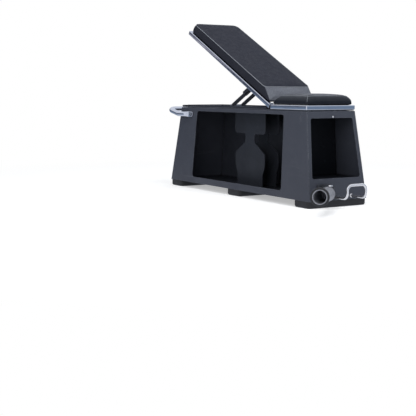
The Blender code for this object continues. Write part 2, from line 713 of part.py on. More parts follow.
def make_hinges(finishes, pivot):
    """One hinge on each rail.  The back leaf holds the outer and inner knuckles of three."""
    chrome = finishes["chrome"]
    on_axis = (HINGE_X, 0, HINGE_Z)
    for side, where in ((-1, "near"), (1, "far")):
        seat_knuckle = knuckle(*knuckle_span(side, 1, 2), 1.0)
        seat_leaf = body(f"seat_hinge_leaf_{where}", *seat_knuckle, chrome, None, 40)
        seat_leaf.location = on_axis
        outer_knuckle = knuckle(*knuckle_span(side, 0, 1), -1.0)
        back_leaf = body(f"back_hinge_leaf_{where}", *outer_knuckle, chrome, pivot, 40)
        fuse(back_leaf, f"inner_knuckle_{where}", knuckle(*knuckle_span(side, 2, 3), -1.0))
        clear = KNUCKLE_R + GAP * 2
        y0, y1 = knuckle_span(side, 0, 3)
        for leaf, way, place in ((seat_leaf, 1.0, on_axis), (back_leaf, -1.0, (0, 0, 0))):
            x0, x1 = sorted((way * clear, way * (LEAF_LENGTH + 0.001)))
            plate = box((x0, y0, -KNUCKLE_R), (x1, y1, -KNUCKLE_R + LEAF))
            fuse(leaf, f"leaf_plate_{leaf.name}", plate).modifiers[-1].object.location = place
            bore = rod((0, y0 - 0.01, 0), (0, y1 + 0.01, 0), HINGE_PIN_R + GAP, 12)
            cut(leaf, f"pin_bore_{leaf.name}", bore).modifiers[-1].object.location = place
        pin = rod((0, y0 - 0.0008, 0), (0, y1 + 0.0008, 0), HINGE_PIN_R, 12)
        body(f"hinge_pin_{where}", *pin, finishes["zinc"], None, 40).location = on_axis


def knuckle(y0, y1, way):
    """A round knuckle with its root, which leads off low towards way."""
    count = 12
    first = asin((KNUCKLE_R - LEAF) / KNUCKLE_R)
    outer = []
    for i in range(count + 1):
        turn = -first + (3 * pi / 2 + first) * i / count
        outer.append((way * KNUCKLE_R * cos(turn), KNUCKLE_R * sin(turn)))
    outer.append((way * LEAF_LENGTH, -KNUCKLE_R))
    outer.append((way * LEAF_LENGTH, -KNUCKLE_R + LEAF))
    return prism(outer, 1, y0, y1)


def make_prop(finishes, pivot):
    """Legs folded flat along the frame, pointing to the head end, and turned by the pivot."""
    up = PROP_LEG_WIDTH / 2
    end = -PROP_LENGTH
    arc_head = [(-up * sin(t), up * cos(t)) for t in [pi * (1 - i / 6) for i in range(7)]]
    outline = [(end + x, z) for x, z in arc_head]
    wide = up + PROP_LEG_EXTRA
    outline += [(-PROP_LEG_STEP, up), (-PROP_LEG_STEP, wide)]
    outline += [(wide * sin(t), wide * cos(t)) for t in [pi * i / 6 for i in range(7)]]
    outline += [(-PROP_LEG_STEP, -wide), (-PROP_LEG_STEP, -up)]
    for side, name in ((-1, "prop_leg_near"), (1, "prop_leg_far")):
        middle = side * PROP_LEG_SPACING / 2
        leg = body(name, *prism(outline, 1, middle - PROP_LEG_THICK / 2, middle + PROP_LEG_THICK / 2),
                   finishes["black_steel"], pivot)
        y0, y1 = sorted((middle, middle + side * (PROP_LEG_THICK / 2 + PROP_CHEEK)))
        cheek = [(-PROP_LEG_STEP, -PROP_CHEEK_LOW), (0.009, -PROP_CHEEK_LOW), (0.009, 0.005),
                 (0.004, wide - 0.0005), (-PROP_LEG_STEP, wide - 0.0005)]
        fuse(leg, f"{name}_cheek", prism(cheek, 1, y0, y1))
        for at, radius, bore in ((0.0, PROP_PIN_R, "pin"), (end, FOOT_ROD_R * 0.75, "foot")):
            hole = rod((at, middle - 0.02, 0), (at, middle + 0.02, 0), radius + GAP, 16)
            cut(leg, f"{name}_{bore}_bore", hole)
    inner = PROP_LEG_SPACING / 2 - PROP_LEG_THICK / 2 - GAP
    outer = PROP_LEG_SPACING / 2 + PROP_LEG_THICK / 2 + GAP
    half = FOOT_ROD_LENGTH / 2
    neck = FOOT_ROD_R * 0.75
    profile = [(0, FOOT_ROD_R), (half - outer, FOOT_ROD_R), (half - outer, neck), (half - inner, neck),
               (half - inner, FOOT_ROD_R), (half + inner, FOOT_ROD_R), (half + inner, neck),
               (half + outer, neck), (half + outer, FOOT_ROD_R), (2 * half, FOOT_ROD_R)]
    body("prop_foot_rod", *turned((end, -half, 0), (0, 1, 0), profile, 16), finishes["zinc"], pivot, 40)


def make_tooth_channel(finishes):
    """A channel on the tray floor whose two upright edges are cut into teeth for the foot rod."""
    tip = FOOT_Z - FOOT_ROD_R - TOOTH_CLEARANCE
    low = TRAY_FLOOR + GAP
    first = HINGE_X - 2 * PROP_LENGTH - TOOTH_PITCH
    last = first + TOOTH_COUNT * TOOTH_PITCH
    outline = [(first, low), (last, low)]
    for i in reversed(range(TOOTH_COUNT)):
        right = first + (i + 1) * TOOTH_PITCH
        outline.append((right, tip))
        outline.append((right - TOOTH_PITCH * 0.7, tip - TOOTH_DEPTH))
        outline.append((right - TOOTH_PITCH + 0.003, tip - TOOTH_DEPTH))
    outline.append((first, tip))
    outer = STRIP_Y + STRIP_THICK
    channel = body("tooth_channel", *prism(outline, 1, -outer, outer), finishes["zinc"])
    cut(channel, "channel_hollow", box((first - 0.01, -STRIP_Y, low + 0.002),
                                       (last + 0.01, STRIP_Y, tip + 0.01)))


# Handle, socket and hoop


def make_handle(finishes):
    panel = side_y(HANDLE_Z)
    side = side_y(HANDLE_Z - HANDLE_R) + HANDLE_R + HANDLE_SIDE_GAP
    flat_y = panel + GAP * 1.5 + HANDLE_FLAT / 2
    tip = HANDLE_BOLT_X + HANDLE_TIP
    flat_from = HANDLE_BOLT_X - 0.022
    round_from = flat_from - 0.022
    grip_x = head_end_x(CABINET_TOP) - HANDLE_REACH
    grip_z = HANDLE_Z + HANDLE_RISE
    bend_steps = 3

    corners = [(round_from, -side, HANDLE_Z), (HANDLE_BEND_X, -side, HANDLE_Z), (grip_x, -side, grip_z),
               (grip_x, side, grip_z), (HANDLE_BEND_X, side, HANDLE_Z), (round_from, side, HANDLE_Z)]
    middle = filleted_path(corners, HANDLE_CORNER, 5)
    near_end = [Vector((tip, -flat_y, HANDLE_Z)), Vector((flat_from, -flat_y, HANDLE_Z))]
    far_end = [Vector((flat_from, flat_y, HANDLE_Z)), Vector((tip, flat_y, HANDLE_Z))]
    path = near_end + middle + far_end
    count = 16
    ring = circle(HANDLE_R, count, pi / count)
    # the pressed ends are flat plates that lie along the slope of the side panels
    flat = []
    for a, b in ring:
        height = b / HANDLE_R * HANDLE_FLAT_HALF
        squared = copysign(abs(a / HANDLE_R) ** 0.2, a)
        flat.append((squared * HANDLE_FLAT / 2 + SIDE_FLARE * height, height))

    def section(i):
        return flat if i < 2 or i > len(path) - 3 else ring

    handle = body("transport_handle", *swept(path, section), finishes["chrome"], None, 40)
    inner = circle(HANDLE_R - HANDLE_WALL, count, pi / count)
    hollow_path = middle[1:-1]
    cut(handle, "handle_hollow", swept(hollow_path, lambda i: inner))
    # a vent near each end opens the hollow to the outside
    for s, name in ((-1, "handle_vent_near"), (1, "handle_vent_far")):
        at = middle[2].x
        vent = rod((at, s * side, HANDLE_Z - HANDLE_R - 0.005), (at, s * side, HANDLE_Z), 0.002, 8)
        cut(handle, name, vent)
    bolts = []
    for s in (-1, 1):
        seat = Vector((HANDLE_BOLT_X, s * (flat_y + HANDLE_FLAT / 2 + GAP), HANDLE_Z))
        out = Vector((0, s, SIDE_FLARE)).normalized()
        cut(handle, f"handle_bolt_hole_{s + 1}", rod(seat - out * 0.02, seat + out * 0.03, 0.0064, 16))
        bolts.append(turned(seat, out,
                            [(-HANDLE_FLAT, 0.0058), (0, 0.0058), (0, 0.012), (0.0016, 0.012),
                             (0.0016, 0.0092), (0.0070, 0.0092), (0.0085, 0.0070)], 18))
    copies("handle_bolt", bolts, finishes["zinc"], None, 30)


def make_socket(finishes):
    steel = finishes["black_steel"]
    zinc = finishes["zinc"]
    half = BRACKET_WIDTH / 2
    z_low, z_high = SOCKET_Z - 0.034, SOCKET_Z + 0.030
    plate_thick = 0.005

    rings = []
    for z in (z_low, z_high):
        face = seat_end_x(z) + GAP
        rings.append([(face, SOCKET_Y - half, z), (face + plate_thick, SOCKET_Y - half, z),
                      (face + plate_thick, SOCKET_Y + half, z), (face, SOCKET_Y + half, z)])
    bracket = body("socket_bracket", *loft(rings), steel)
    lug_r = 0.018
    for i, side in enumerate((-1, 1)):
        z0, z1 = sorted((SOCKET_Z + side * BRACKET_HALF_GAP,
                         SOCKET_Z + side * (BRACKET_HALF_GAP + BRACKET_LUG)))
        root = seat_end_x(z0) + 0.002
        outline = [(root, SOCKET_Y - lug_r), (SOCKET_X, SOCKET_Y - lug_r)]
        outline += [(SOCKET_X + lug_r * sin(t), SOCKET_Y - lug_r * cos(t))
                    for t in [pi * s / 8 for s in range(1, 8)]]
        outline += [(SOCKET_X, SOCKET_Y + lug_r), (root, SOCKET_Y + lug_r)]
        fuse(bracket, f"bracket_lug_{i}", prism(outline, 2, z0, z1))
    cut(bracket, "swivel_pin_bore", rod((SOCKET_X, SOCKET_Y, z_low - 0.02),
                                        (SOCKET_X, SOCKET_Y, z_high + 0.02), SWIVEL_PIN_R + GAP, 16))
    reach = BRACKET_HALF_GAP + BRACKET_LUG + GAP
    pin = [(-0.006, 0.009), (0, 0.009), (0, SWIVEL_PIN_R), (2 * reach, SWIVEL_PIN_R),
           (2 * reach, 0.0095), (2 * reach + 0.0015, 0.0095), (2 * reach + 0.007, 0.0075)]
    shape = turned((SOCKET_X, SOCKET_Y, SOCKET_Z - reach), (0, 0, 1), pin, 16)
    body("swivel_pin", *shape, zinc, None, 30)


def make_swivel(finishes, swivel):
    steel = finishes["black_steel"]
    reach = BRACKET_HALF_GAP - GAP * 2
    shape = turned((0, 0, -reach), (0, 0, 1), [(0, SWIVEL_R), (2 * reach, SWIVEL_R)], 24)
    block = body("swivel_block", *shape, steel, swivel, 40)
    for i, side in enumerate((-1, 1)):
        y0, y1 = sorted((side * FORK_GAP / 2, side * (FORK_GAP / 2 + FORK_EAR)))
        ear_r = 0.012
        outline = [(0.004, -ear_r), (SOCKET_PITCH_ARM, -ear_r)]
        outline += [(SOCKET_PITCH_ARM + ear_r * 0.9 * sin(t), -ear_r * cos(t))
                    for t in [pi * s / 6 for s in range(1, 6)]]
        outline += [(SOCKET_PITCH_ARM, ear_r), (0.004, ear_r)]
        fuse(block, f"fork_ear_{i}", prism(outline, 1, y0, y1))
    cut(block, "block_bore", rod((0, 0, -0.04), (0, 0, 0.04), SWIVEL_PIN_R + GAP, 16))
    ear_out = FORK_GAP / 2 + FORK_EAR
    cut(block, "tilt_bore", rod((SOCKET_PITCH_ARM, -0.05, 0), (SOCKET_PITCH_ARM, 0.05, 0),
                                TILT_PIN_R + GAP, 16))
    span = 2 * (ear_out + GAP)
    profile = [(-0.004, 0.008), (0, 0.008), (0, TILT_PIN_R), (span, TILT_PIN_R), (span, 0.008),
               (span + 0.006, 0.0075)]
    shape = turned((SOCKET_PITCH_ARM, -span / 2, 0), (0, 1, 0), profile, 16)
    body("tilt_pin", *shape, finishes["zinc"], swivel, 30)


def make_socket_tube(finishes, tilt):
    outer = SOCKET_BORE_R + SOCKET_WALL
    closed = SOCKET_TONGUE
    mouth = closed + SOCKET_END + SOCKET_LENGTH
    shape = turned((closed, 0, 0), (1, 0, 0), [(0, outer), (mouth - closed, outer)], 32)
    tube = body("bar_socket", *shape, finishes["black_steel"], tilt, 40)
    cut(tube, "socket_bore", rod((closed + SOCKET_END, 0, 0), (mouth + 0.01, 0, 0), SOCKET_BORE_R, 32))
    half = FORK_GAP / 2 - GAP * 2
    tongue_r = 0.011
    outline = [(closed + 0.002, -tongue_r), (closed + 0.002, tongue_r), (0, tongue_r)]
    outline += [(-tongue_r * sin(t), tongue_r * cos(t)) for t in [pi * s / 6 for s in range(1, 6)]]
    outline += [(0, -tongue_r)]
    fuse(tube, "socket_tongue", prism(outline, 1, -half, half))
    cut(tube, "tongue_bore", rod((0, -0.05, 0), (0, 0.05, 0), TILT_PIN_R + GAP, 16))
    ring = [(mouth - RING_THICK, outer + GAP), (mouth - RING_THICK, RING_R - 0.002),
            (mouth - RING_THICK + 0.002, RING_R), (mouth - 0.002, RING_R), (mouth, RING_R - 0.002),
            (mouth, outer + GAP)]
    count = 32
    rings = []
    for along, radius in ring:
        rings.append([(along, a, b) for a, b in circle(radius, count, pi / count)])
    verts = [p for r in rings for p in r]
    faces = []
    for r in range(len(rings)):
        nxt = (r + 1) % len(rings)
        for i in range(count):
            j = (i + 1) % count
            faces.append((r * count + i, r * count + j, nxt * count + j, nxt * count + i))
    body("socket_ring", verts, faces, finishes["rubber"], tilt, 40)


def make_hoop(finishes):
    half = HOOP_WIDTH / 2
    root = seat_end_x(HOOP_Z + HOOP_R) + GAP
    front = seat_end_x(HOOP_Z) + HOOP_REACH
    top = HOOP_Z + HOOP_RISE
    left, right = HOOP_Y - half, HOOP_Y + half
    corners = [(root, left, HOOP_Z), (front, left, HOOP_Z), (front, left, top)]
    corners += [(front, right, top), (front, right, HOOP_Z), (root, right, HOOP_Z)]
    path = filleted_path(corners, HOOP_BEND, 5)
    ring = circle(HOOP_R, 12, pi / 12)
    rings = transported(path, ring)
    # the legs end on the slope of the end panel
    for k in (0, -1):
        rings[k] = [(seat_end_x(z) + GAP, y, z) for x, y, z in rings[k]]
    hoop = body("strap_hoop", *loft(rings), finishes["chrome"], None, 40)
    for i, y in enumerate((left, right)):
        collar = []
        for out in (GAP, HOOP_COLLAR):
            collar.append([(seat_end_x(HOOP_Z + b) + out, y + a, HOOP_Z + b)
                           for a, b in circle(HOOP_R + 0.006, 16)])
        fuse(hoop, f"hoop_collar_{i}", loft(collar))


def transported(path, outline):
    """Rings whose sections are carried along the path without twisting."""
    ahead = (path[1] - path[0]).normalized()
    side = Vector((0, 1, 0))
    up = ahead.cross(side)
    rings = []
    for i, here in enumerate(path):
        before = path[max(i - 1, 0)]
        after = path[min(i + 1, len(path) - 1)]
        new = (after - before).normalized()
        turn = ahead.rotation_difference(new)
        side = turn @ side
        up = turn @ up
        ahead = new
        rings.append([tuple(here + side * a + up * b) for a, b in outline])
    return rings


def make_end_screw(finishes):
    """The button-head screw in the top border of the end opening."""
    z = POCKET_TOP + 0.005
    lean = atan2(SEAT_END_FLARE, 1.0)
    out = Vector((cos(lean), 0, sin(lean)))
    face = Vector((seat_end_x(z), 0.007, z)) + out * GAP
    shape = turned(face, out, [(0, 0.0045), (0.002, 0.0042), (0.0032, 0.0025)], 16)
    body("end_screw", *shape, finishes["zinc"], None, 30)


def pivot_empty(name, location, rotation, parent=None):
    made = bpy.data.objects.new(name, None)
    made.location = location
    made.rotation_euler = rotation
    made.parent = parent
    bpy.context.scene.collection.objects.link(made)
    return made


def main():
    for old in list(bpy.data.objects):
        bpy.data.objects.remove(old, do_unlink=True)
    finishes = make_finishes()

    back = pivot_empty("back_pivot", (HINGE_X, 0, HINGE_Z), (0, radians(BACK_ANGLE), 0))
    fold = prop_fold_angle(BACK_ANGLE)
    prop = pivot_empty("prop_pivot", (-PROP_LENGTH, 0, PROP_N), (0, -radians(fold), 0), back)
    swivel = pivot_empty("swivel_pivot", (SOCKET_X, SOCKET_Y, SOCKET_Z), (0, 0, radians(SOCKET_YAW)))
    tilt = pivot_empty("tilt_pivot", (SOCKET_PITCH_ARM, 0, 0), (0, -radians(SOCKET_TILT), 0), swivel)

    make_cabinet(finishes)
    make_webs(finishes)
    make_skids(finishes)
    make_tooth_channel(finishes)
    make_seat(finishes)
    make_hinges(finishes, back)
    make_back(finishes, back)
    make_prop(finishes, prop)
    make_handle(finishes)
    make_socket(finishes)
    make_swivel(finishes, swivel)
    make_socket_tube(finishes, tilt)
    make_hoop(finishes)
    make_end_screw(finishes)
    print(f"prop folds {fold:.3f} degrees from the back frame at rest")


main()
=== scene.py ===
"""Looks of the utility bench: coated sheet, chrome tube, stuffed pads, fasteners, studio floor and light.

Metres, +Z up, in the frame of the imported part.  +X points to the seat end and the origin lies on
the floor under the middle of the cabinet.
"""

from math import asin, cos, degrees, hypot, pi, radians, sin

import bmesh
import bpy
from mathutils import Matrix, Vector
from mathutils.kdtree import KDTree


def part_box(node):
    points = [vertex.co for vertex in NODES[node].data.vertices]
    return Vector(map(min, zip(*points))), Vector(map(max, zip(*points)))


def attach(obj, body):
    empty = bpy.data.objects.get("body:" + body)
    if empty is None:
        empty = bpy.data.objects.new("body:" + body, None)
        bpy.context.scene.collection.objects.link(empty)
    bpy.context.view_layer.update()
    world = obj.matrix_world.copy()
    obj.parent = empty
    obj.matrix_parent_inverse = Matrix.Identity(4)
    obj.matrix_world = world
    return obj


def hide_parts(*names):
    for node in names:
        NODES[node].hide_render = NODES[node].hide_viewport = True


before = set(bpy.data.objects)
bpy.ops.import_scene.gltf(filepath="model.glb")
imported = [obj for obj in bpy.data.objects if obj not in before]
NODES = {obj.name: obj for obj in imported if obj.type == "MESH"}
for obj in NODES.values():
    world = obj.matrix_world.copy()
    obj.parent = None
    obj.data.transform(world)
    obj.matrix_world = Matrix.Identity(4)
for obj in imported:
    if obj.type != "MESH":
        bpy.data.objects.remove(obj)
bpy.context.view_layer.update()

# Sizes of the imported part
TOP_LENGTH = 1.046
TOP_WIDTH = 0.266
CABINET_TOP = 0.411
BASE_Z = 0.0303
SIDE_FLARE = 0.067
SEAT_END_FLARE = 0.158
HEAD_END_FLARE = 0.183
SHEET = 0.003
GAP = 0.0003
BAY_HALF_TOP = 0.366
BAY_FLARE = 0.046
BAY_TOP = 0.390
BAY_SILL = 0.060
BAY_CORNER = 0.014
POCKET_BORDER = 0.021
POCKET_TOP = 0.377
POCKET_SILL = 0.123
POCKET_CORNER = 0.010
RAIL = 0.020
RAIL_WALL = 0.002
RAIL_TOP = 0.4313
HINGE_X = 0.261
HINGE_Z = 0.4358
BACK_ANGLE = 27.0
BACK_LENGTH = 0.792
TUBE_TOP = -0.0045
HINGE_PIN_R = 0.0022
PROP_LENGTH = 0.256
PROP_N = -0.016
FOOT_Z = 0.4198
PROP_LEG_SPACING = 0.056
PROP_LEG_THICK = 0.008
PROP_CHEEK = 0.009
PROP_PIN_R = 0.004
FOOT_ROD_R = 0.006
FOOT_ROD_LENGTH = 0.084
BOARD_SCREW_X = (-0.057, -0.717)
BOARD_SCREW_Y = 0.080
CUSHION_INSET = 0.005
CUSHION_SIDE = 0.033
BACK_SLOPE = 1.78
BACK_EXTRA = 0.003
SEAT_SLOPE = 0.95
SKIRT = 0.0108
HANDLE_R = 0.0125
HANDLE_Z = 0.373
HANDLE_BOLT_X = -0.417
HANDLE_TIP = 0.0145
HANDLE_RISE = 0.023
HANDLE_REACH = 0.109
HANDLE_BEND_X = -0.525
HANDLE_CORNER = 0.045
HANDLE_FLAT = 0.005
HANDLE_FLAT_HALF = 0.0135
HANDLE_FLAT_RUN = 0.022
HANDLE_EASE_RUN = 0.022
SOCKET_AT = (0.620378, -0.075, 0.070)
SOCKET_YAW = -48.0
SOCKET_TILT = 2.7
SOCKET_BORE_R = 0.0262
SOCKET_OUTER_R = 0.0302
SOCKET_PITCH_ARM = 0.046
SOCKET_TONGUE = 0.018
SOCKET_MOUTH = 0.226
RING_R = 0.038
RING_THICK = 0.014
HOOP_R = 0.0058
HOOP_Z = 0.045
HOOP_Y = 0.0225
HOOP_WIDTH = 0.101
HOOP_REACH = 0.093
HOOP_RISE = 0.0565
HOOP_BEND = 0.022
WELD_R = 0.0018
WELD_LUMP = 0.0004        # the bead's ripples
WELD_LUMPS = 13

# Finer sizes of the finished surfaces
CORNER_BEND = 0.0042      # outside radius of the folded cabinet corners
TOP_FOLD = 0.0027         # outside radius of the sheets' top edge
SHEET_EDGE = 0.0009       # radius of the sheets' cut edges
THROUGH_NEAR_SIDE = (-0.25, -0.11)      # from where to where the openings' cutters reach
THROUGH_SEAT_END = (0.50, 0.62)
TUBE_CORNER = 0.0040      # outside radius of the square tube's edges
PIPING_R = 0.0013
FOAM_CELL = 0.005         # mesh size while a pad is stuffed
FOAM_SWELL = 0.0035       # how far stuffing may push a pad's cover
COVER_DRAWN_IN = 0.0014   # how much smaller a cover starts before it is stuffed
SEAM_STEP = 0.004         # spacing of the points along a sewn line
SEAM_DIP = 0.0008         # how far the thread sinks into the cover
WHITE = (1.0, 1.0, 1.0)
LIT_SIDE = (0.72, -0.69, 0.0)       # where the studio is bright down to the floor
PALE_TINT = (0.66, 0.70, 0.80)      # what chrome mirrors of the studio's upper part
LOW_TINT = (0.17, 0.23, 0.33)       # and of its shaded side
DARK_SIDE = (-0.85, -0.53, 0.0)     # where the studio's lower wall is unlit
DARK_TINT = (0.050, 0.060, 0.095)
FLAT_TINT = (0.46, 0.45, 0.53)      # a pale flat standing before it
FLAT_BAND = (0.029, 0.036, 0.051, 0.059)    # how low and high the flat shows, with its soft edges
DECK_SHOWS = 0.0045       # how far the side sheets' tops lie under the deck's top
CAMERA_AT = (3.5874, -2.5041, 0.4966)
CAMERA_LOOK = (-0.8444, 0.5200, -0.1286)
CAMERA_RIGHT = (0.5242, 0.8516, 0.0020)
CAMERA_LENS = 79.0        # in millimetres, on Blender's own sensor of 36 mm


def side_y(z):
    """Where the long sides stand at a height."""
    return TOP_WIDTH / 2 + SIDE_FLARE * (CABINET_TOP - z)


def seat_end_x(z):
    """Where the seat end's panel stands at a height."""
    return TOP_LENGTH / 2 + SEAT_END_FLARE * (CABINET_TOP - z)


def head_end_x(z):
    """Where the head end's panel stands at a height."""
    return -TOP_LENGTH / 2 - HEAD_END_FLARE * (CABINET_TOP - z)


def prop_fold():
    """Angle between back frame and prop while the foot rod stands in the tray."""
    turn = radians(BACK_ANGLE)
    height = PROP_LENGTH * sin(turn) + PROP_N * cos(turn) + HINGE_Z - FOOT_Z
    return BACK_ANGLE + degrees(asin(height / PROP_LENGTH))


BACK = Matrix.Translation((HINGE_X, 0, HINGE_Z)) @ Matrix.Rotation(radians(BACK_ANGLE), 4, "Y")
PROP = BACK @ Matrix.Translation((-PROP_LENGTH, 0, PROP_N)) @ Matrix.Rotation(-radians(prop_fold()), 4, "Y")
SWIVEL = Matrix.Translation(SOCKET_AT) @ Matrix.Rotation(radians(SOCKET_YAW), 4, "Z")
TILT = SWIVEL @ Matrix.Translation((SOCKET_PITCH_ARM, 0, 0)) @ Matrix.Rotation(-radians(SOCKET_TILT), 4, "Y")
HERE = Matrix.Identity(4)
END_OUT = Vector((1, 0, SEAT_END_FLARE)).normalized()   # straight out of the seat end's panel


# Node helpers


def give(tree, node, inputs):
    """Feeds a node's inputs with plain values or with other nodes' outputs."""
    for key, value in inputs.items():
        end = node.inputs[key]
        if isinstance(value, bpy.types.NodeSocket):
            tree.links.new(value, end)
        elif end.type == "RGBA":
            end.default_value = (*value, 1.0)
        else:
            end.default_value = value


def put(tree, kind, inputs=None, **settings):
    """A shader node with its settings and inputs."""
    made = tree.nodes.new("ShaderNode" + kind)
    for key, value in settings.items():
        setattr(made, key, value)
    give(tree, made, inputs or {})
    return made


def maths(tree, operation, a, b=0.0, clamp=False):
    return put(tree, "Math", {0: a, 1: b}, operation=operation, use_clamp=clamp).outputs[0]


def times(tree, a, b, clamp=False):
    return maths(tree, "MULTIPLY", a, b, clamp)


def ramp(tree, value, low, high, out_low=0.0, out_high=1.0):
    """The value carried from one range to another, with soft ends."""
    made = put(tree, "MapRange", {"Value": value, "From Min": low, "From Max": high,
                                  "To Min": out_low, "To Max": out_high},
               interpolation_type="SMOOTHSTEP")
    return made.outputs["Result"]


def vectors(tree, operation, *inputs):
    """A vector node; a scale's factor is its fourth input."""
    ends = (0, 3) if operation == "SCALE" else (0, 1)
    made = put(tree, "VectorMath", dict(zip(ends, inputs)), operation=operation)
    return made.outputs["Value" if operation in ("DOT_PRODUCT", "LENGTH") else "Vector"]


def blend_colour(tree, share, a, b):
    return put(tree, "Mix", {0: share, 6: a, 7: b}, data_type="RGBA").outputs[2]


def layered(tree, colour, *coats):
    """The colour with each coat laid over it in turn, as a mask and a colour."""
    for share, coat in coats:
        colour = blend_colour(tree, share, colour, coat)
    return colour


def own_space(tree):
    return put(tree, "TexCoord").outputs["Object"]


def noise(tree, scale, detail=2.0, roughness=0.5, at=None):
    """Cloudy noise over the piece's own space, or over a stretched one."""
    where = own_space(tree) if at is None else at
    return put(tree, "TexNoise", {"Vector": where, "Scale": scale, "Detail": detail,
                                  "Roughness": roughness}).outputs


def voronoi(tree, where, scale, feature):
    return put(tree, "TexVoronoi", {"Vector": where, "Scale": scale}, feature=feature).outputs["Distance"]


def effect(name, inputs, outputs):
    """An empty shared node group with its ends: (tree, input sockets, output node)."""
    tree = bpy.data.node_groups.new(name, "ShaderNodeTree")
    for label, value in inputs.items():
        kind = "NodeSocketColor" if isinstance(value, tuple) else "NodeSocketFloat"
        socket = tree.interface.new_socket(label, in_out="INPUT", socket_type=kind)
        socket.default_value = (*value, 1.0) if isinstance(value, tuple) else value
    for label, kind in outputs.items():
        tree.interface.new_socket(label, in_out="OUTPUT", socket_type="NodeSocket" + kind)
    start = tree.nodes.new("NodeGroupInput")
    return tree, start.outputs, tree.nodes.new("NodeGroupOutput")


def mask_out(tree, given, out, share):
    give(tree, out, {"Mask": times(tree, share, given["Amount"], True)})


def place(tree, name, **inputs):
    """A shared effect placed in a material with its own values."""
    values = {label.replace("_", " "): value for label, value in inputs.items()}
    return put(tree, "Group", values, node_tree=bpy.data.node_groups[name]).outputs


# Shared effects


def make_mottle():
    """Cloudy change from one colour to another, with a fine speckle over it."""
    tree, given, out = effect("mottle", {"Colour": (0.5, 0.5, 0.5), "Cloud colour": (0.4, 0.4, 0.4),
                                         "Cloud scale": 6.0, "Speckle scale": 380.0, "Speckle": 0.1},
                              {"Colour": "Color", "Cloud": "Float"})
    soft = ramp(tree, noise(tree, given["Cloud scale"], 4.0, 0.6)["Fac"], 0.32, 0.68)
    colour = blend_colour(tree, soft, given["Colour"], given["Cloud colour"])
    fine = noise(tree, given["Speckle scale"], 2.0, 0.7)["Fac"]
    swing = times(tree, maths(tree, "SUBTRACT", fine, 0.5), given["Speckle"])
    level = maths(tree, "ADD", times(tree, swing, 2.6), 1.0)
    give(tree, out, {"Colour": vectors(tree, "SCALE", colour, level), "Cloud": soft})


def make_peel():
    """The slight orange peel and grit of baked powder paint."""
    tree, given, out = effect("powder_peel", {"Scale": 420.0, "Grit": 0.3}, {"Height": "Float"})
    wave = noise(tree, given["Scale"], 1.5)["Fac"]
    grit = voronoi(tree, own_space(tree), times(tree, given["Scale"], 2.2), "SMOOTH_F1")
    give(tree, out, {"Height": maths(tree, "ADD", wave, times(tree, grit, given["Grit"]))})


def make_hide_grain():
    """Pebbled grain with fine creases between the pebbles."""
    tree, given, out = effect("hide_grain", {"Scale": 620.0, "Wander": 0.35},
                              {"Height": "Float", "Creases": "Float"})
    coarse = times(tree, given["Scale"], 0.3)
    push = vectors(tree, "SUBTRACT", noise(tree, coarse)["Color"], (0.5, 0.5, 0.5))
    moved = vectors(tree, "SCALE", push, maths(tree, "DIVIDE", given["Wander"], coarse))
    at = vectors(tree, "ADD", own_space(tree), moved)
    dome = times(tree, voronoi(tree, at, given["Scale"], "SMOOTH_F1"), -0.8)
    crease = ramp(tree, voronoi(tree, at, given["Scale"], "DISTANCE_TO_EDGE"), 0.0, 0.12, 1.0, 0.0)
    give(tree, out, {"Height": maths(tree, "SUBTRACT", dome, times(tree, crease, 0.35)), "Creases": crease})


def make_edge_wear_and_highlight():
    """A mask along outer edges, broken up in patches as worn paint is; on coated sheet it also paints an edge
    highlight.
    """
    tree, given, out = effect("edge_wear_and_highlight", {"Reach": 0.0015, "Patchiness": 60.0, "Amount": 1.0},
                              {"Mask": "Float"})
    straight = put(tree, "NewGeometry").outputs["Normal"]
    softened = put(tree, "Bevel", {"Radius": given["Reach"]}, samples=6).outputs["Normal"]
    near_edge = ramp(tree, vectors(tree, "DOT_PRODUCT", straight, softened), 0.99, 0.80)
    broken = ramp(tree, noise(tree, given["Patchiness"], 5.0)["Fac"], 0.35, 0.62)
    mask_out(tree, given, out, times(tree, near_edge, broken))


def make_dust():
    """A mask of dust on what faces up."""
    tree, given, out = effect("settled_dust", {"Scale": 30.0, "Amount": 0.2}, {"Mask": "Float"})
    up = put(tree, "SeparateXYZ", {0: put(tree, "NewGeometry").outputs["Normal"]}).outputs["Z"]
    patch = ramp(tree, noise(tree, given["Scale"], 6.0, 0.65)["Fac"], 0.35, 0.75)
    mask_out(tree, given, out, times(tree, ramp(tree, up, 0.35, 0.95), patch))


def make_crevice_shade():
    """A mask of painted shade in crevices and where parts meet, from how closely other surfaces stand round
    each point.
    """
    tree, given, out = effect("painted_crevice_shade", {"Reach": 0.012, "Amount": 0.8}, {"Mask": "Float"})
    open_share = put(tree, "AmbientOcclusion", {"Distance": given["Reach"]}, samples=6).outputs["AO"]
    mask_out(tree, given, out, ramp(tree, open_share, 0.85, 0.35))


def make_scuffs():
    """A mask of thin straight rubs in two directions."""
    tree, given, out = effect("scuffs", {"Scale": 60.0, "Amount": 0.5}, {"Mask": "Float"})
    marks = []
    for stretch, turn in (((0.06, 1.0, 1.0), (0.3, 0.2, 0.5)), ((1.0, 0.07, 0.8), (0.1, 0.6, -0.4))):
        at = put(tree, "Mapping", {"Vector": own_space(tree), "Rotation": turn, "Scale": stretch})
        lines = noise(tree, given["Scale"], 7.0, 0.75, at.outputs[0])["Fac"]
        marks.append(ramp(tree, lines, 0.60, 0.68))
    mask_out(tree, given, out, maths(tree, "MAXIMUM", *marks))


# Finishes


def coloured(name, colour, cloud, cloud_scale, speckle_scale, speckle, metallic=0.0, shine=0.5):
    """A new material with its cloudy colour: (material, tree, shader, the mottle's outputs)."""
    material = bpy.data.materials.new(name)
    material.use_nodes = True
    tree = material.node_tree
    shader = tree.nodes["Principled BSDF"]
    give(tree, shader, {"Metallic": metallic, "Specular IOR Level": shine})
    base = place(tree, "mottle", Colour=colour, Cloud_colour=cloud, Cloud_scale=cloud_scale,
                 Speckle_scale=speckle_scale, Speckle=speckle)
    return material, tree, shader, base


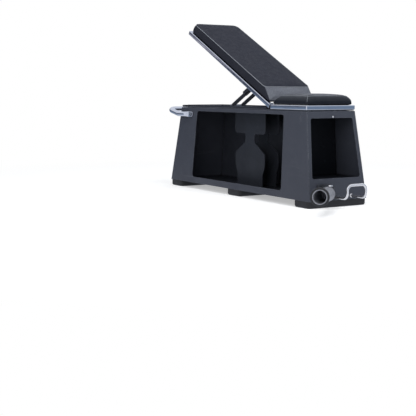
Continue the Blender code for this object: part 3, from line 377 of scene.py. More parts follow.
def bump(tree, shader, height, strength, distance):
    made = put(tree, "Bump", {"Height": height, "Strength": strength, "Distance": distance})
    give(tree, shader, {"Normal": made.outputs[0]})


def painted_sheet(name, colour, cloud, worn_and_edge_lit, speckle=0.10, rough=(0.40, 0.54), dust=0.05, shine=0.5):
    """Baked powder paint on steel sheet, its pale edges partly wear and partly painted highlight, with
    painted shade in its crevices.
    """
    material, tree, shader, base = coloured(name, colour, cloud, 5.0, 420.0, speckle, shine=shine)
    rubs = place(tree, "scuffs", Scale=34.0, Amount=0.30)["Mask"]
    paint = layered(tree, base["Colour"],
                    # edges: a pale colour that is partly worn paint and partly painted highlight
                    (place(tree, "edge_wear_and_highlight", Reach=0.0022, Patchiness=34.0, Amount=0.90)["Mask"], worn_and_edge_lit),
                    (times(tree, rubs, 0.35), worn_and_edge_lit),
                    (place(tree, "settled_dust", Scale=26.0, Amount=dust)["Mask"], (0.30, 0.30, 0.30)),
                    # painted shade: near black laid into crevices and where parts meet
                    (place(tree, "painted_crevice_shade", Reach=0.014, Amount=0.85)["Mask"], (0.004, 0.004, 0.005)))
    rougher = ramp(tree, base["Cloud"], 0.0, 1.0, *rough)
    give(tree, shader, {"Base Color": paint,
                        "Roughness": maths(tree, "SUBTRACT", rougher, times(tree, rubs, 0.10))})
    bump(tree, shader, place(tree, "powder_peel", Scale=520.0, Grit=0.30)["Height"], 0.22, 0.0002)
    return material


def plated(name, colour, cloud, rough, rub=0.5, brushed=0.0):
    """Plated steel: bright metal with faint haze and hairline rubs."""
    material, tree, shader, base = coloured(name, colour, cloud, 14.0, 900.0, 0.03, metallic=1.0)
    rubs = place(tree, "scuffs", Scale=90.0, Amount=rub)["Mask"]
    haze = ramp(tree, base["Cloud"], 0.0, 1.0, *rough)
    give(tree, shader, {"Base Color": base["Colour"],
                        "Roughness": maths(tree, "ADD", haze, times(tree, rubs, 0.16))})
    peel = place(tree, "powder_peel", Scale=160.0, Grit=0.10 + brushed)["Height"]
    bump(tree, shader, peel, 0.05 + brushed * 0.3, 0.0002)
    return material


def upholstery(name, colour, cloud, grain=620.0, depth=0.30, speckle=0.30, rough=(0.52, 0.64), shine=0.15):
    """Grained vinyl over foam."""
    material, tree, shader, base = coloured(name, colour, cloud, 7.0, 310.0, speckle, shine=shine)
    hide = place(tree, "hide_grain", Scale=grain, Wander=0.35)
    cover = layered(tree, base["Colour"],
                    (times(tree, hide["Creases"], 0.45), [c * 0.35 for c in colour]),
                    (place(tree, "settled_dust", Scale=40.0, Amount=0.05)["Mask"], (0.26, 0.26, 0.27)),
                    # painted shade: near black laid where the pads meet the frame and in their folds
                    (place(tree, "painted_crevice_shade", Reach=0.030, Amount=0.80)["Mask"], (0.003, 0.003, 0.004)))
    rougher = ramp(tree, base["Cloud"], 0.0, 1.0, *rough)
    give(tree, shader, {"Base Color": cover,
                        "Roughness": maths(tree, "ADD", rougher, times(tree, hide["Creases"], 0.15))})
    bump(tree, shader, hide["Height"], depth, 0.0006)
    return material


def moulded(name, colour, cloud, rough=(0.62, 0.78), speckle=0.22, scale=260.0, depth=0.3):
    """Rubber and plastic: fine moulded grain with a little dust."""
    material, tree, shader, base = coloured(name, colour, cloud, 16.0, 700.0, speckle)
    wear = place(tree, "edge_wear_and_highlight", Reach=0.0015, Patchiness=90.0, Amount=0.35)["Mask"]
    skin = layered(tree, base["Colour"], (wear, [min(c * 2.6, 1.0) for c in colour]),
                   (place(tree, "settled_dust", Scale=50.0, Amount=0.10)["Mask"], (0.28, 0.27, 0.26)))
    give(tree, shader, {"Base Color": skin, "Roughness": ramp(tree, base["Cloud"], 0.0, 1.0, *rough)})
    bump(tree, shader, place(tree, "powder_peel", Scale=scale, Grit=0.9)["Height"], depth, 0.0003)
    return material


def cast_steel(name):
    """The socket's rough dark steel, with bright flecks where the scale is worn off."""
    material, tree, shader, base = coloured(name, (0.25, 0.255, 0.28), (0.34, 0.345, 0.37), 60.0, 520.0,
                                            0.35, metallic=0.40)
    bright = ramp(tree, noise(tree, 230.0, 3.0, 0.6)["Fac"], 0.58, 0.72)
    wear = place(tree, "edge_wear_and_highlight", Reach=0.0022, Patchiness=70.0, Amount=0.8)["Mask"]
    shown = maths(tree, "MAXIMUM", times(tree, bright, 0.7), wear)
    give(tree, shader, {"Base Color": blend_colour(tree, shown, base["Colour"], (0.52, 0.53, 0.58)),
                        "Roughness": ramp(tree, shown, 0.0, 1.0, 0.52, 0.30)})
    bump(tree, shader, place(tree, "powder_peel", Scale=190.0, Grit=0.8)["Height"], 0.55, 0.0005)
    return material


def painted_ply(name):
    """Black painted board with its grain showing through."""
    material, tree, shader, base = coloured(name, (0.014, 0.014, 0.015), (0.022, 0.021, 0.020), 10.0, 300.0,
                                            0.25)
    along = put(tree, "Mapping", {"Vector": own_space(tree), "Scale": (3.0, 60.0, 60.0)}).outputs[0]
    fibre = noise(tree, 9.0, 6.0, 0.6, along)["Fac"]
    give(tree, shader, {"Base Color": base["Colour"], "Roughness": ramp(tree, fibre, 0.3, 0.7, 0.62, 0.80)})
    bump(tree, shader, fibre, 0.4, 0.0004)
    return material


for make_effect in (make_mottle, make_peel, make_hide_grain, make_edge_wear_and_highlight, make_dust, make_crevice_shade,
                    make_scuffs):
    make_effect()

FINISHES = {
    "sheet": painted_sheet("charcoal_powder_coat", (0.054, 0.059, 0.076), (0.046, 0.050, 0.066),
                           (0.21, 0.23, 0.26)),
    # inside the bay: the same powder coat painted darker, as painted shade of the recess
    "inner_sheet_painted_shade": painted_sheet("inner_powder_coat_painted_shade", (0.026, 0.029, 0.037), (0.021, 0.023, 0.030),
                                 (0.12, 0.13, 0.15), shine=0.3),
    # inside the end pocket: the same powder coat painted near black, as painted shade of the deep recess
    "pocket_sheet_painted_shade": painted_sheet("pocket_powder_coat_painted_shade", (0.009, 0.010, 0.013), (0.007, 0.008, 0.011),
                                  (0.05, 0.055, 0.07), rough=(0.60, 0.72), dust=0.02, shine=0.10),
    "chrome": plated("polished_chrome", (0.80, 0.81, 0.84), (0.74, 0.75, 0.79), (0.07, 0.14)),
    "satin_chrome": plated("satin_chrome", (0.98, 0.95, 0.91), (0.93, 0.90, 0.87), (0.22, 0.30), 0.3),
    "zinc": plated("zinc_plate", (0.56, 0.57, 0.60), (0.46, 0.47, 0.50), (0.30, 0.44), 0.7, 0.2),
    "vinyl": upholstery("grained_vinyl", (0.027, 0.029, 0.040), (0.032, 0.034, 0.045), rough=(0.66, 0.78),
                        shine=0.08),
    "seat_vinyl": upholstery("seat_vinyl", (0.008, 0.010, 0.015), (0.011, 0.013, 0.018),
                             rough=(0.27, 0.36), shine=0.28),
    # the back pad's sloped end: a lighter vinyl, its lightness a painted highlight of the light falling there
    "end_vinyl_painted_lit": upholstery("ribbed_end_vinyl_painted_highlight", (0.135, 0.145, 0.172), (0.110, 0.119, 0.145), grain=480.0,
                            depth=0.45, speckle=0.75, shine=0.5),
    # pale piping and seam cords: a painted highlight along the pads' sewn edges
    "piping_painted_highlight": upholstery("piping_vinyl_painted_highlight", (0.31, 0.33, 0.365), (0.26, 0.28, 0.31), grain=900.0, depth=0.15,
                         speckle=0.12, rough=(0.76, 0.86), shine=0.05),
    "board": painted_ply("painted_board"),
    "rubber": moulded("foot_rubber", (0.020, 0.020, 0.022), (0.026, 0.026, 0.028)),
    "plastic": moulded("plug_plastic", (0.016, 0.016, 0.018), (0.020, 0.020, 0.022), rough=(0.38, 0.50),
                       speckle=0.10, scale=500.0, depth=0.12),
    "dark_steel": painted_sheet("black_enamelled_steel", (0.030, 0.032, 0.039), (0.024, 0.026, 0.032),
                                (0.20, 0.21, 0.24), speckle=0.14, rough=(0.34, 0.46), dust=0.04),
    "cast": cast_steel("rough_socket_steel"),
}


# Shape helpers


def piece(name, verts, faces, material, sharp=38, at=HERE):
    """A mesh object from points and faces, its faces turned outwards and smooth but for its edges."""
    mesh = bpy.data.meshes.new(name)
    mesh.from_pydata([tuple(v) for v in verts], [], faces)
    shell = bmesh.new()
    shell.from_mesh(mesh)
    bmesh.ops.remove_doubles(shell, verts=shell.verts, dist=4e-6)
    bmesh.ops.dissolve_degenerate(shell, edges=shell.edges, dist=2e-6)
    bmesh.ops.recalc_face_normals(shell, faces=shell.faces)
    shell.to_mesh(mesh)
    shell.free()
    mesh.materials.append(material)
    mesh.shade_smooth()
    mesh.set_sharp_from_angle(angle=radians(sharp))
    made = bpy.data.objects.new(name, mesh)
    bpy.context.scene.collection.objects.link(made)
    made.matrix_world = at
    return made


def fit(made, body, slot, *stands_for):
    """Lets a finished piece ride on its body, in place of the nodes that it stands for."""
    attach(made, body)
    if stands_for:
        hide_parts(*stands_for)
    return made


def add(name, shape, finish, body, slot, *stands_for, sharp=30, at=HERE):
    """A piece with its finish, riding on its body."""
    return fit(piece(name, *shape, FINISHES[finish], sharp, at), body, slot, *stands_for)


def round_edges(made, width, segments=3):
    """A small radius on every real edge, with shading that keeps the flats flat."""
    radius = made.modifiers.new("edge_radius", "BEVEL")
    radius.width = width
    radius.segments = segments
    radius.limit_method = "ANGLE"
    radius.angle_limit = radians(32)
    radius.miter_outer = "MITER_ARC"
    made.modifiers.new("flat_faces", "WEIGHTED_NORMAL").keep_sharp = False
    return made


def settle(made):
    """Turns the modifiers into the mesh itself."""
    graph = bpy.context.evaluated_depsgraph_get()
    mesh = bpy.data.meshes.new_from_object(made.evaluated_get(graph))
    made.modifiers.clear()
    made.data = mesh


def loft(rings, closed=False):
    """Faces through rings of equal point count, capped at both ends or joined round."""
    count = len(rings[0])
    verts = [p for ring in rings for p in ring]
    faces = []
    for r in range(len(rings) if closed else len(rings) - 1):
        nxt = (r + 1) % len(rings)
        for i in range(count):
            j = (i + 1) % count
            faces.append((r * count + i, r * count + j, nxt * count + j, nxt * count + i))
    if not closed:
        faces.append(tuple(range(count)))
        faces.append(tuple((len(rings) - 1) * count + i for i in range(count)))
    return verts, faces


def prism(outline, axis, low, high):
    """A flat outline drawn out along one axis."""
    def spot(a, b, c):
        point = [a, b]
        point.insert(axis, c)
        return point

    return loft([[spot(a, b, c) for a, b in outline] for c in (low, high)])


def bend(before, here, after, radius, steps):
    """The arc that rounds one corner of a path."""
    back, ahead = (before - here).normalized(), (after - here).normalized()
    half = back.angle(ahead) / 2
    centre = here + (back + ahead).normalized() * radius / sin(half)
    start, end = (here + way * radius / sin(half) * cos(half) - centre for way in (back, ahead))
    angle, axis = start.angle(end), start.cross(end)
    return [centre + Matrix.Rotation(angle * s / steps, 3, axis) @ start for s in range(steps + 1)]


def rounded(points, radius, steps=8):
    """The flat outline with every corner replaced by an arc."""
    flat = [Vector((*p, 0.0)) for p in points]
    corners = zip(flat[-1:] + flat, flat, flat[1:] + flat[:1])
    return [tuple(p.xy) for corner in corners for p in bend(*corner, radius, steps)]


def filleted_path(points, radius, steps=12):
    """A path whose inner corners are arcs of the given radius."""
    path = [Vector(p) for p in points]
    corners = zip(path, path[1:], path[2:])
    return [path[0], *(p for corner in corners for p in bend(*corner, radius, steps)), path[-1]]


def arc(cx, cy, radius, first, sweep, steps):
    """Points round a centre, from one angle through a sweep."""
    angles = [first + sweep * s / steps for s in range(steps + 1)]
    return [(cx + radius * cos(t), cy + radius * sin(t)) for t in angles]


def rounded_box(x_low, x_high, y_low, y_high, r_low, r_high, steps):
    """Outline of a box with rounded corners, one radius at its low end and one at its high end."""
    low, high = x_low + r_low, x_high - r_high
    corners = ((high, y_high - r_high, r_high), (low, y_high - r_low, r_low), (low, y_low + r_low, r_low),
               (high, y_low + r_high, r_high))
    return [p for i, (cx, cy, r) in enumerate(corners) for p in arc(cx, cy, r, pi / 2 * i, pi / 2, steps)]


def circle(radius, count):
    return [(radius * cos(2 * pi * i / count), radius * sin(2 * pi * i / count)) for i in range(count)]


def lathe(start, axis, profile, count=48, closed=False):
    """A turned shape: the profile lists (distance along the axis, radius)."""
    start = Vector(start)
    turn = Vector(axis).to_track_quat("Z", "Y")
    rings = [[tuple(start + turn @ Vector((a, b, along))) for a, b in circle(radius, count)]
             for along, radius in profile]
    return loft(rings, closed)


def hexagon_head(start, axis, across, height, washer=0.0, washer_height=0.0):
    """A six-sided head with its rounded crown, on a washer if it has one."""
    start = Vector(start)
    turn = Vector(axis).to_track_quat("Z", "Y")
    rings = []

    def ring(along, radius_at):
        rings.append([tuple(start + turn @ Vector((radius_at(t) * cos(t), radius_at(t) * sin(t), along)))
                      for t in [2 * pi * i / 48 for i in range(48)]])

    def hexagon(t):
        return across / 2 / cos((t + pi / 6) % (pi / 3) - pi / 6)

    if washer:
        for along, cut in ((0.0, 0.0003), (0.0002, 0.0), (washer_height - 0.0002, 0.0),
                           (washer_height, 0.0003)):
            ring(along, lambda t: washer - cut)
    ring(washer_height, lambda t: hexagon(t) - 0.0002)
    ring(washer_height + 0.0003, hexagon)
    ring(washer_height + height * 0.80, hexagon)
    ring(washer_height + height * 0.93, lambda t: min(hexagon(t), across / 2 * 1.03))
    ring(washer_height + height, lambda t: across / 2 * 0.90)
    return loft(rings)


def carried(path, outline, side=(0, 1, 0), closed=False):
    """Rings whose sections follow the path without twisting."""
    count = len(path)
    side = Vector(side)
    ahead = None
    rings = []
    for i, here in enumerate(path):
        before = path[(i - 1) % count] if closed or i else here
        after = path[(i + 1) % count] if closed or i < count - 1 else here
        new = (after - before).normalized()
        if ahead is None:
            side = (side - new * side.dot(new)).normalized()
        else:
            side = ahead.rotation_difference(new) @ side
            side = (side - new * side.dot(new)).normalized()
        ahead = new
        up = ahead.cross(side)
        section = outline(i) if callable(outline) else outline
        rings.append([tuple(here + side * a + up * b) for a, b in section])
    return rings


# Cabinet


def shell_levels():
    """Heights of a shell panel, with how far its outer face has turned in at the top fold."""
    levels = [(BASE_Z, 0.0)]
    for s in range(6):
        t = pi / 2 * s / 5
        levels.append((CABINET_TOP - DECK_SHOWS - TOP_FOLD * (1 - sin(t)), TOP_FOLD * (1 - cos(t))))
    return levels


def plan_ring(side, z, turned_in):
    """Plan of a long side panel at one height: a sheet folded round both end corners."""
    outer, inner = [], []
    middle = -side_y(z) + CORNER_BEND
    for cx, first in ((head_end_x(z) + CORNER_BEND, pi), (seat_end_x(z) - CORNER_BEND, 3 * pi / 2)):
        outer += arc(cx, middle, CORNER_BEND - turned_in, first, pi / 2, 8)
        inner += arc(cx, middle, CORNER_BEND - SHEET, first, pi / 2, 8)
    return [(x, y if side < 0 else -y, z) for x, y in outer + inner[::-1]]


def cut_hole(panel, half_low, half_top, sill, top, corner, axis, reach):
    """A four-sided opening with rounded corners, cut through a panel along one axis."""
    corners = [(-half_low, sill), (half_low, sill), (half_top, top), (-half_top, top)]
    tool = piece("hole_tool", *prism(rounded(corners, corner), axis, *reach), panel.data.materials[0])
    cut = panel.modifiers.new("hole", "BOOLEAN")
    cut.operation = "DIFFERENCE"
    cut.solver = "EXACT"
    cut.object = tool
    settle(panel)
    bpy.data.objects.remove(tool, do_unlink=True)
    panel.data.shade_smooth()
    panel.data.set_sharp_from_angle(angle=radians(38))


def make_shell():
    paint = FINISHES["sheet"]
    for side, name in ((-1, "side_panel_near"), (1, "side_panel_far")):
        rings = [plan_ring(side, *level) for level in shell_levels()]
        panel = piece(name + "_sheet", *loft(rings), paint, 60)
        if side < 0:
            low = BAY_HALF_TOP + BAY_FLARE * (BAY_TOP - BAY_SILL)
            cut_hole(panel, low, BAY_HALF_TOP, BAY_SILL, BAY_TOP, BAY_CORNER, 1, THROUGH_NEAR_SIDE)
        fit(round_edges(panel, SHEET_EDGE), "cabinet", "powder_coat", name)

    for end_x, inward, name in ((seat_end_x, -1, "end_panel_seat"), (head_end_x, 1, "end_panel_head")):
        rings = []
        for z, turned_in in shell_levels():
            half = side_y(z) - CORNER_BEND - GAP
            outer, inner = end_x(z) + inward * turned_in, end_x(z) + inward * SHEET
            rings.append([(outer, -half, z), (outer, half, z), (inner, half, z), (inner, -half, z)])
        panel = piece(name + "_sheet", *loft(rings), paint)
        if end_x is seat_end_x:
            low, top = (side_y(z) - POCKET_BORDER for z in (POCKET_SILL, POCKET_TOP))
            cut_hole(panel, low, top, POCKET_SILL, POCKET_TOP, POCKET_CORNER, 0, THROUGH_SEAT_END)
        fit(round_edges(panel, SHEET_EDGE), "cabinet", "powder_coat", name)


# Square chrome tube


def tube_rail(name, length, mitre_low, mitre_high):
    """A square tube along +X with its outer side at y 0, and its plugs.  A mitred end turns its outer
    corner in a small radius; an open end shows the wall and a plug."""
    r, w = TUBE_CORNER, RAIL
    profile = rounded_box(0.0, w, 0.0, w, r, r, 5)

    def corner_ring(outward, turn):
        ring = []
        for depth, height in profile:
            reach = min(length - r + r * sin(turn), length - depth)
            ring.append((reach if outward > 0 else length - reach, max(r - r * cos(turn), depth), height))
        return ring

    def plain_ring(x, inset):
        share = 1 - 2 * inset / w
        return [(x, w / 2 + (d - w / 2) * share, w / 2 + (h - w / 2) * share) for d, h in profile]

    lip = ((0.010, RAIL_WALL), (0.0005, RAIL_WALL), (0.0, RAIL_WALL - 0.0004), (0.0, 0.0004), (0.0005, 0.0))
    turns = [pi / 4 * s / 5 for s in range(6)]
    if mitre_low:
        rings = [corner_ring(-1, t) for t in reversed(turns)]
    else:
        rings = [plain_ring(x, inset) for x, inset in lip]
    if mitre_high:
        rings += [corner_ring(1, t) for t in turns]
    else:
        rings += [plain_ring(length - x, inset) for x, inset in reversed(lip)]
    made = [piece(name, *loft(rings), FINISHES["chrome"], 50)]
    made[0].modifiers.new("flat_faces", "WEIGHTED_NORMAL").keep_sharp = True
    wall = RAIL_WALL + 0.0002
    plug = ((0.009, wall), (0.0016, wall), (0.0011, wall + 0.0005), (0.0009, 0.0060))
    for mitred, x, way in ((mitre_low, 0.0, 1), (mitre_high, length, -1)):
        if not mitred:
            rings = [plain_ring(x + way * depth, inset) for depth, inset in plug]
            made.append(piece(name + "_plug", *loft(rings), FINISHES["plastic"], 50))
    return made


def make_rails():
    half = TOP_WIDTH / 2
    start = HINGE_X + 0.002
    seat, back = TOP_LENGTH / 2 - start, BACK_LENGTH - 0.002
    seat_z, back_z = RAIL_TOP - RAIL, TUBE_TOP - RAIL
    flip = Matrix.Scale(-1, 4, (0, 1, 0))

    def corner(x, y, z, turn=0.0):
        return Matrix.Translation((x, y, z)) @ Matrix.Rotation(turn, 4, "Z")

    rails = (
        ("seat_rail_near", "cabinet", seat, False, True, corner(start, -half, seat_z)),
        ("seat_rail_far", "cabinet", seat, False, True, corner(start, half, seat_z) @ flip),
        ("seat_rail_end", "cabinet", TOP_WIDTH, True, True, corner(TOP_LENGTH / 2, -half, seat_z, pi / 2)),
        ("back_tube_near", "backrest", back, True, False, BACK @ corner(-BACK_LENGTH, -half, back_z)),
        ("back_tube_far", "backrest", back, True, False, BACK @ corner(-BACK_LENGTH, half, back_z) @ flip),
        ("back_tube_head", "backrest", TOP_WIDTH, True, True,
         BACK @ corner(-BACK_LENGTH, half, back_z, -pi / 2)),
    )
    for name, body, length, mitre_low, mitre_high, at in rails:
        tube, *plugs = tube_rail(name + "_tube", length, mitre_low, mitre_high)
        for made in (tube, *plugs):
            bake_place(made, at)
        fit(tube, body, "chrome", name)
        for plug in plugs:
            fit(plug, body, "rubber")


def bake_place(made, matrix):
    """Moves the points themselves, so that a mirrored piece keeps its faces outwards."""
    made.data.transform(matrix)
    if matrix.determinant() < 0:
        made.data.flip_normals()
    made.matrix_world = HERE


# Pads


def pad_outline(limits, height, inset, end_inset, corners, slopes):
    """Plan of a pad at a height over its foot; a sloped end leans back above the board."""
    x_low, x_high, half = limits
    rise = max(0.0, height - SKIRT)
    low = x_low + (slopes[0] * rise + min(inset, 0.012) if slopes[0] else end_inset)
    high = x_high - (slopes[1] * rise + min(inset, 0.012) if slopes[1] else end_inset)
    # a sloped end's corners open out towards its foot
    up = min(1.0, rise / CUSHION_SIDE)
    r_low, r_high = (0.007 + (r - 0.007) * up if slope else max(r - inset, 0.008)
                     for r, slope in zip(corners, slopes))
    return rounded_box(low, high, inset - half, half - inset, r_low, r_high, 8)


def pad_levels(rounded_sides):
    """Share of the height, inset of the sides, inset of the free end and rise of each ring."""
    if rounded_sides:
        side = [(0.0, 0.0030), (0.08, 0.0006), (0.22, 0.0), (0.40, 0.0008), (0.56, 0.0030), (0.70, 0.0066),
                (0.82, 0.0115), (0.91, 0.0170), (0.97, 0.0225)]
        return [(share, inset, inset, 0.0) for share, inset in side] + [
            (1.0, 0.028, 0.028, 0.0004), (1.0, 0.045, 0.045, 0.0018), (1.0, 0.080, 0.080, 0.0026)]
    side = [(0.0, 0.0026), (0.06, 0.0006), (0.22, 0.0), (0.50, 0.0), (0.75, 0.0), (0.90, 0.0), (1.0, 0.0004)]
    return [(share, inset, inset + 0.017 * share ** 2.4, BACK_EXTRA * share) for share, inset in side] + [
        (1.0, inset, inset + 0.017, BACK_EXTRA + rise) for inset, rise in
        ((0.010, 0.0020), (0.030, 0.0036), (0.070, 0.0046))]


def pad_ring(shape, level, sunk, dropped):
    """One ring of a pad's outside, drawn in and down a little."""
    limits, bottom, corners, slopes = shape
    share, inset, end_inset, rise = level
    height = (SKIRT + CUSHION_SIDE) * share
    plan = pad_outline(limits, height, inset + sunk, end_inset + sunk, corners, slopes)
    return [Vector((x, y, bottom + height + rise - dropped)) for x, y in plan]


def stuffed(name, rings, bottom, seam, material):
    """The pad's cover blown up by its filling, held where it is stapled and along its seam."""
    made = piece(name, *loft(rings), material)
    cells = made.modifiers.new("cells", "REMESH")
    cells.mode = "VOXEL"
    cells.voxel_size = FOAM_CELL
    settle(made)
    before = [v.co.copy() for v in made.data.vertices]
    held = made.vertex_groups.new(name="held")
    held.add([i for i, co in enumerate(before) if co.z < bottom + 0.0035], 1.0, "REPLACE")
    stitches = seam_tree(seam)
    held.add([i for i, co in enumerate(before) if stitches.find(co)[2] < 0.0048], 0.85, "ADD")
    cover = made.modifiers.new("cover", "CLOTH")
    for key, value in (("quality", 6), ("mass", 0.3), ("tension_stiffness", 20),
                       ("compression_stiffness", 20), ("shear_stiffness", 8), ("bending_stiffness", 1.5),
                       ("use_pressure", True), ("uniform_pressure_force", 4.0),
                       ("vertex_group_mass", "held")):
        setattr(cover.settings, key, value)
    cover.settings.effector_weights.gravity = 0.0
    scene = bpy.context.scene
    for step in range(1, 21):
        scene.frame_set(step)
    graph = bpy.context.evaluated_depsgraph_get()
    swollen = made.evaluated_get(graph).to_mesh()
    after = [v.co.copy() for v in swollen.vertices]
    made.modifiers.clear()
    for vertex, old, new in zip(made.data.vertices, before, after):
        move = new - old
        if move.length > FOAM_SWELL:
            move *= FOAM_SWELL / move.length
        vertex.co = old + move
    scene.frame_set(1)
    made.modifiers.new("finer", "SUBSURF")
    settle(made)
    made.data.materials.clear()
    made.data.materials.append(material)
    made.data.shade_smooth()
    for face in made.data.polygons:
        face.material_index = 0
    return made


def bell(away, reach):
    """1 on a line, and about a third of that one reach away from it."""
    return 2.718 ** (-(away / reach) ** 2)


def seam_tree(path):
    tree = KDTree(len(path))
    for i, point in enumerate(path):
        tree.insert(point, i)
    tree.balance()
    return tree


def sewn(made, path, reach, depth):
    """Draws the cover towards a sewn line, with a shallow dip on both sides of it."""
    tree = seam_tree(path)
    normals = [v.normal.copy() for v in made.data.vertices]
    for vertex, normal in zip(made.data.vertices, normals):
        point, _, away = tree.find(vertex.co)
        if away < reach * 3:
            move = (point - vertex.co).dot(normal) * 0.8 - depth
            vertex.co = vertex.co + normal * move * bell(away, reach)


def even(points, step, closed):
    """The path again with points a step apart."""
    loop = points + [points[0]] if closed else points
    out = [loop[0].copy()]
    left = step
    for a, b in zip(loop, loop[1:]):
        run = (b - a).length
        at = left
        while at < run:
            out.append(a.lerp(b, at / run))
            at += step
        left = at - run
    if closed and (out[-1] - out[0]).length < step * 0.5:
        out.pop()
    if not closed:
        out.append(loop[-1].copy())
    return out


def laid_on(made, path, closed):
    """The path moved onto the cover, and evened out along it."""
    for _ in range(3):
        path = [made.closest_point_on_mesh(p)[1] for p in path]
        around = path[-1:] + path + path[:1]
        evened = [(a + b * 2 + c) / 4 for a, b, c in zip(around, path, around[2:])]
        path = evened if closed else [path[0], *evened[1:-1], path[-1]]
    return path


def piped(name, path, closed, radius):
    rings = carried(path, circle(radius, 10), (0, 0, 1), closed)
    return piece(name, *loft(rings, closed), FINISHES["piping_painted_highlight"], 60)


def make_pads():
    half = TOP_WIDTH / 2 - CUSHION_INSET
    back = ((-BACK_LENGTH + 0.003, -0.022, half), TUBE_TOP + GAP * 3, (0.028, 0.014), (0, BACK_SLOPE))
    seat = ((HINGE_X + 0.006, TOP_LENGTH / 2 - CUSHION_INSET, half), RAIL_TOP + GAP * 3, (0.008, 0.014),
            (SEAT_SLOPE, 0))
    for name, shape, is_seat, at, body in (("back_cushion", back, False, BACK, "backrest"),
                                           ("seat_cushion", seat, True, HERE, "cabinet")):
        limits, bottom = shape[:2]
        levels = pad_levels(is_seat)
        sewn_at = levels[7] if is_seat else levels[6]
        rings = [pad_ring(shape, level, COVER_DRAWN_IN, COVER_DRAWN_IN * level[0]) for level in levels]
        seam = even(pad_ring(shape, sewn_at, 0.0016, 0.0016), SEAM_STEP, True)
        made = stuffed(name + "_pad", rings, bottom, seam, FINISHES["seat_vinyl" if is_seat else "vinyl"])
        cord = even(pad_ring(shape, sewn_at, 0.0004, 0.0004), SEAM_STEP, True)
        if is_seat:
            pleat(made, limits, bottom)
            cord = [p + pleat_move(p, limits, bottom) for p in cord]
        sewn(made, cord, 0.0034, SEAM_DIP)
        cord = laid_on(made, cord, True)
        cords = [piped(name + "_piping", cord, True, PIPING_R * (0.7 if is_seat else 1.0))]
        if is_seat:
            for side, where in ((-1, "near"), (1, "far")):
                edge = corner_seam(limits, bottom, levels, side)
                sewn(made, edge, 0.0030, SEAM_DIP)
                edge = laid_on(made, edge, False)
                cords.append(piped(f"{name}_corner_seam_{where}", edge, False, PIPING_R * 0.6))
        else:
            end_panel(made, limits, bottom)
        made.matrix_world = at
        fit(made, body, "vinyl", name)
        for cord in cords:
            cord.matrix_world = at
            fit(cord, body, "vinyl")


def corner_seam(limits, bottom, levels, side):
    """The line down a seat-end corner where the two sides are sewn together."""
    path = []
    for share, inset, end_inset, _ in levels[3:9]:
        drawn = 0.0042 - 0.0016 * share
        spot = Vector((limits[1] - end_inset - drawn, side * (limits[2] - inset - drawn),
                       bottom + (SKIRT + CUSHION_SIDE) * share))
        path.append(spot + pleat_move(spot, limits, bottom) * 0.6)
    return even(path, 0.003, False)


def end_panel(made, limits, bottom):
    """The sloped end of the back's pad is a panel of its own with a coarser grain; its lighter colour is a
    painted highlight of the light falling on that end.
    """
    made.data.materials.append(FINISHES["end_vinyl_painted_lit"])
    down = Vector((BACK_SLOPE, 0.0, -1.0)).normalized()
    lean = Vector((1.0, 0.0, BACK_SLOPE)).normalized()
    brow = Vector((limits[1] - BACK_SLOPE * CUSHION_SIDE - 0.002, 0.0,
                   bottom + SKIRT + CUSHION_SIDE + BACK_EXTRA))
    sides = limits[2] - 0.0055
    shell = bmesh.new()
    shell.from_mesh(made.data)
    across = Vector((0, 1, 0))
    for spot, way in ((brow, down), (across * sides, across), (across * -sides, across)):
        near = [f for f in shell.faces if (f.calc_center_median() - brow).dot(down) > -0.02]
        edges = {e for f in near for e in f.edges}
        verts = {v for f in near for v in f.verts}
        bmesh.ops.bisect_plane(shell, geom=[*verts, *edges, *near], dist=1e-6, plane_co=spot, plane_no=way)
    for face in shell.faces:
        middle = face.calc_center_median()
        if (middle - brow).dot(down) > 0 and abs(middle.y) < sides and face.normal.dot(lean) > 0.35 and (
                middle.z > bottom + SKIRT * 0.5):
            face.material_index = 1
    shell.to_mesh(made.data)
    shell.free()


def pleat_move(co, limits, bottom):
    """How a seat-end corner of the seat pad is gathered in and down at a point of its cover."""
    share = max(0.0, min(1.0, (co.z - bottom) / (SKIRT + CUSHION_SIDE)))
    dx, dy = limits[1] - co.x, limits[2] - abs(co.y)
    near = bell(hypot(dx, dy), 0.032)
    fold = bell(dx - dy, 0.0060)
    way = Vector((-1, -1 if co.y > 0 else 1, 0)).normalized()
    return way * near * (0.0034 * fold + 0.0012) * share - Vector((0, 0, 0.0058 * near * share))


def pleat(made, limits, bottom):
    """Gathers the cover at the two seat-end corners, with one sharp fold down each of them."""
    for vertex in made.data.vertices:
        vertex.co = vertex.co + pleat_move(vertex.co, limits, bottom)


# Handle, hoop and socket


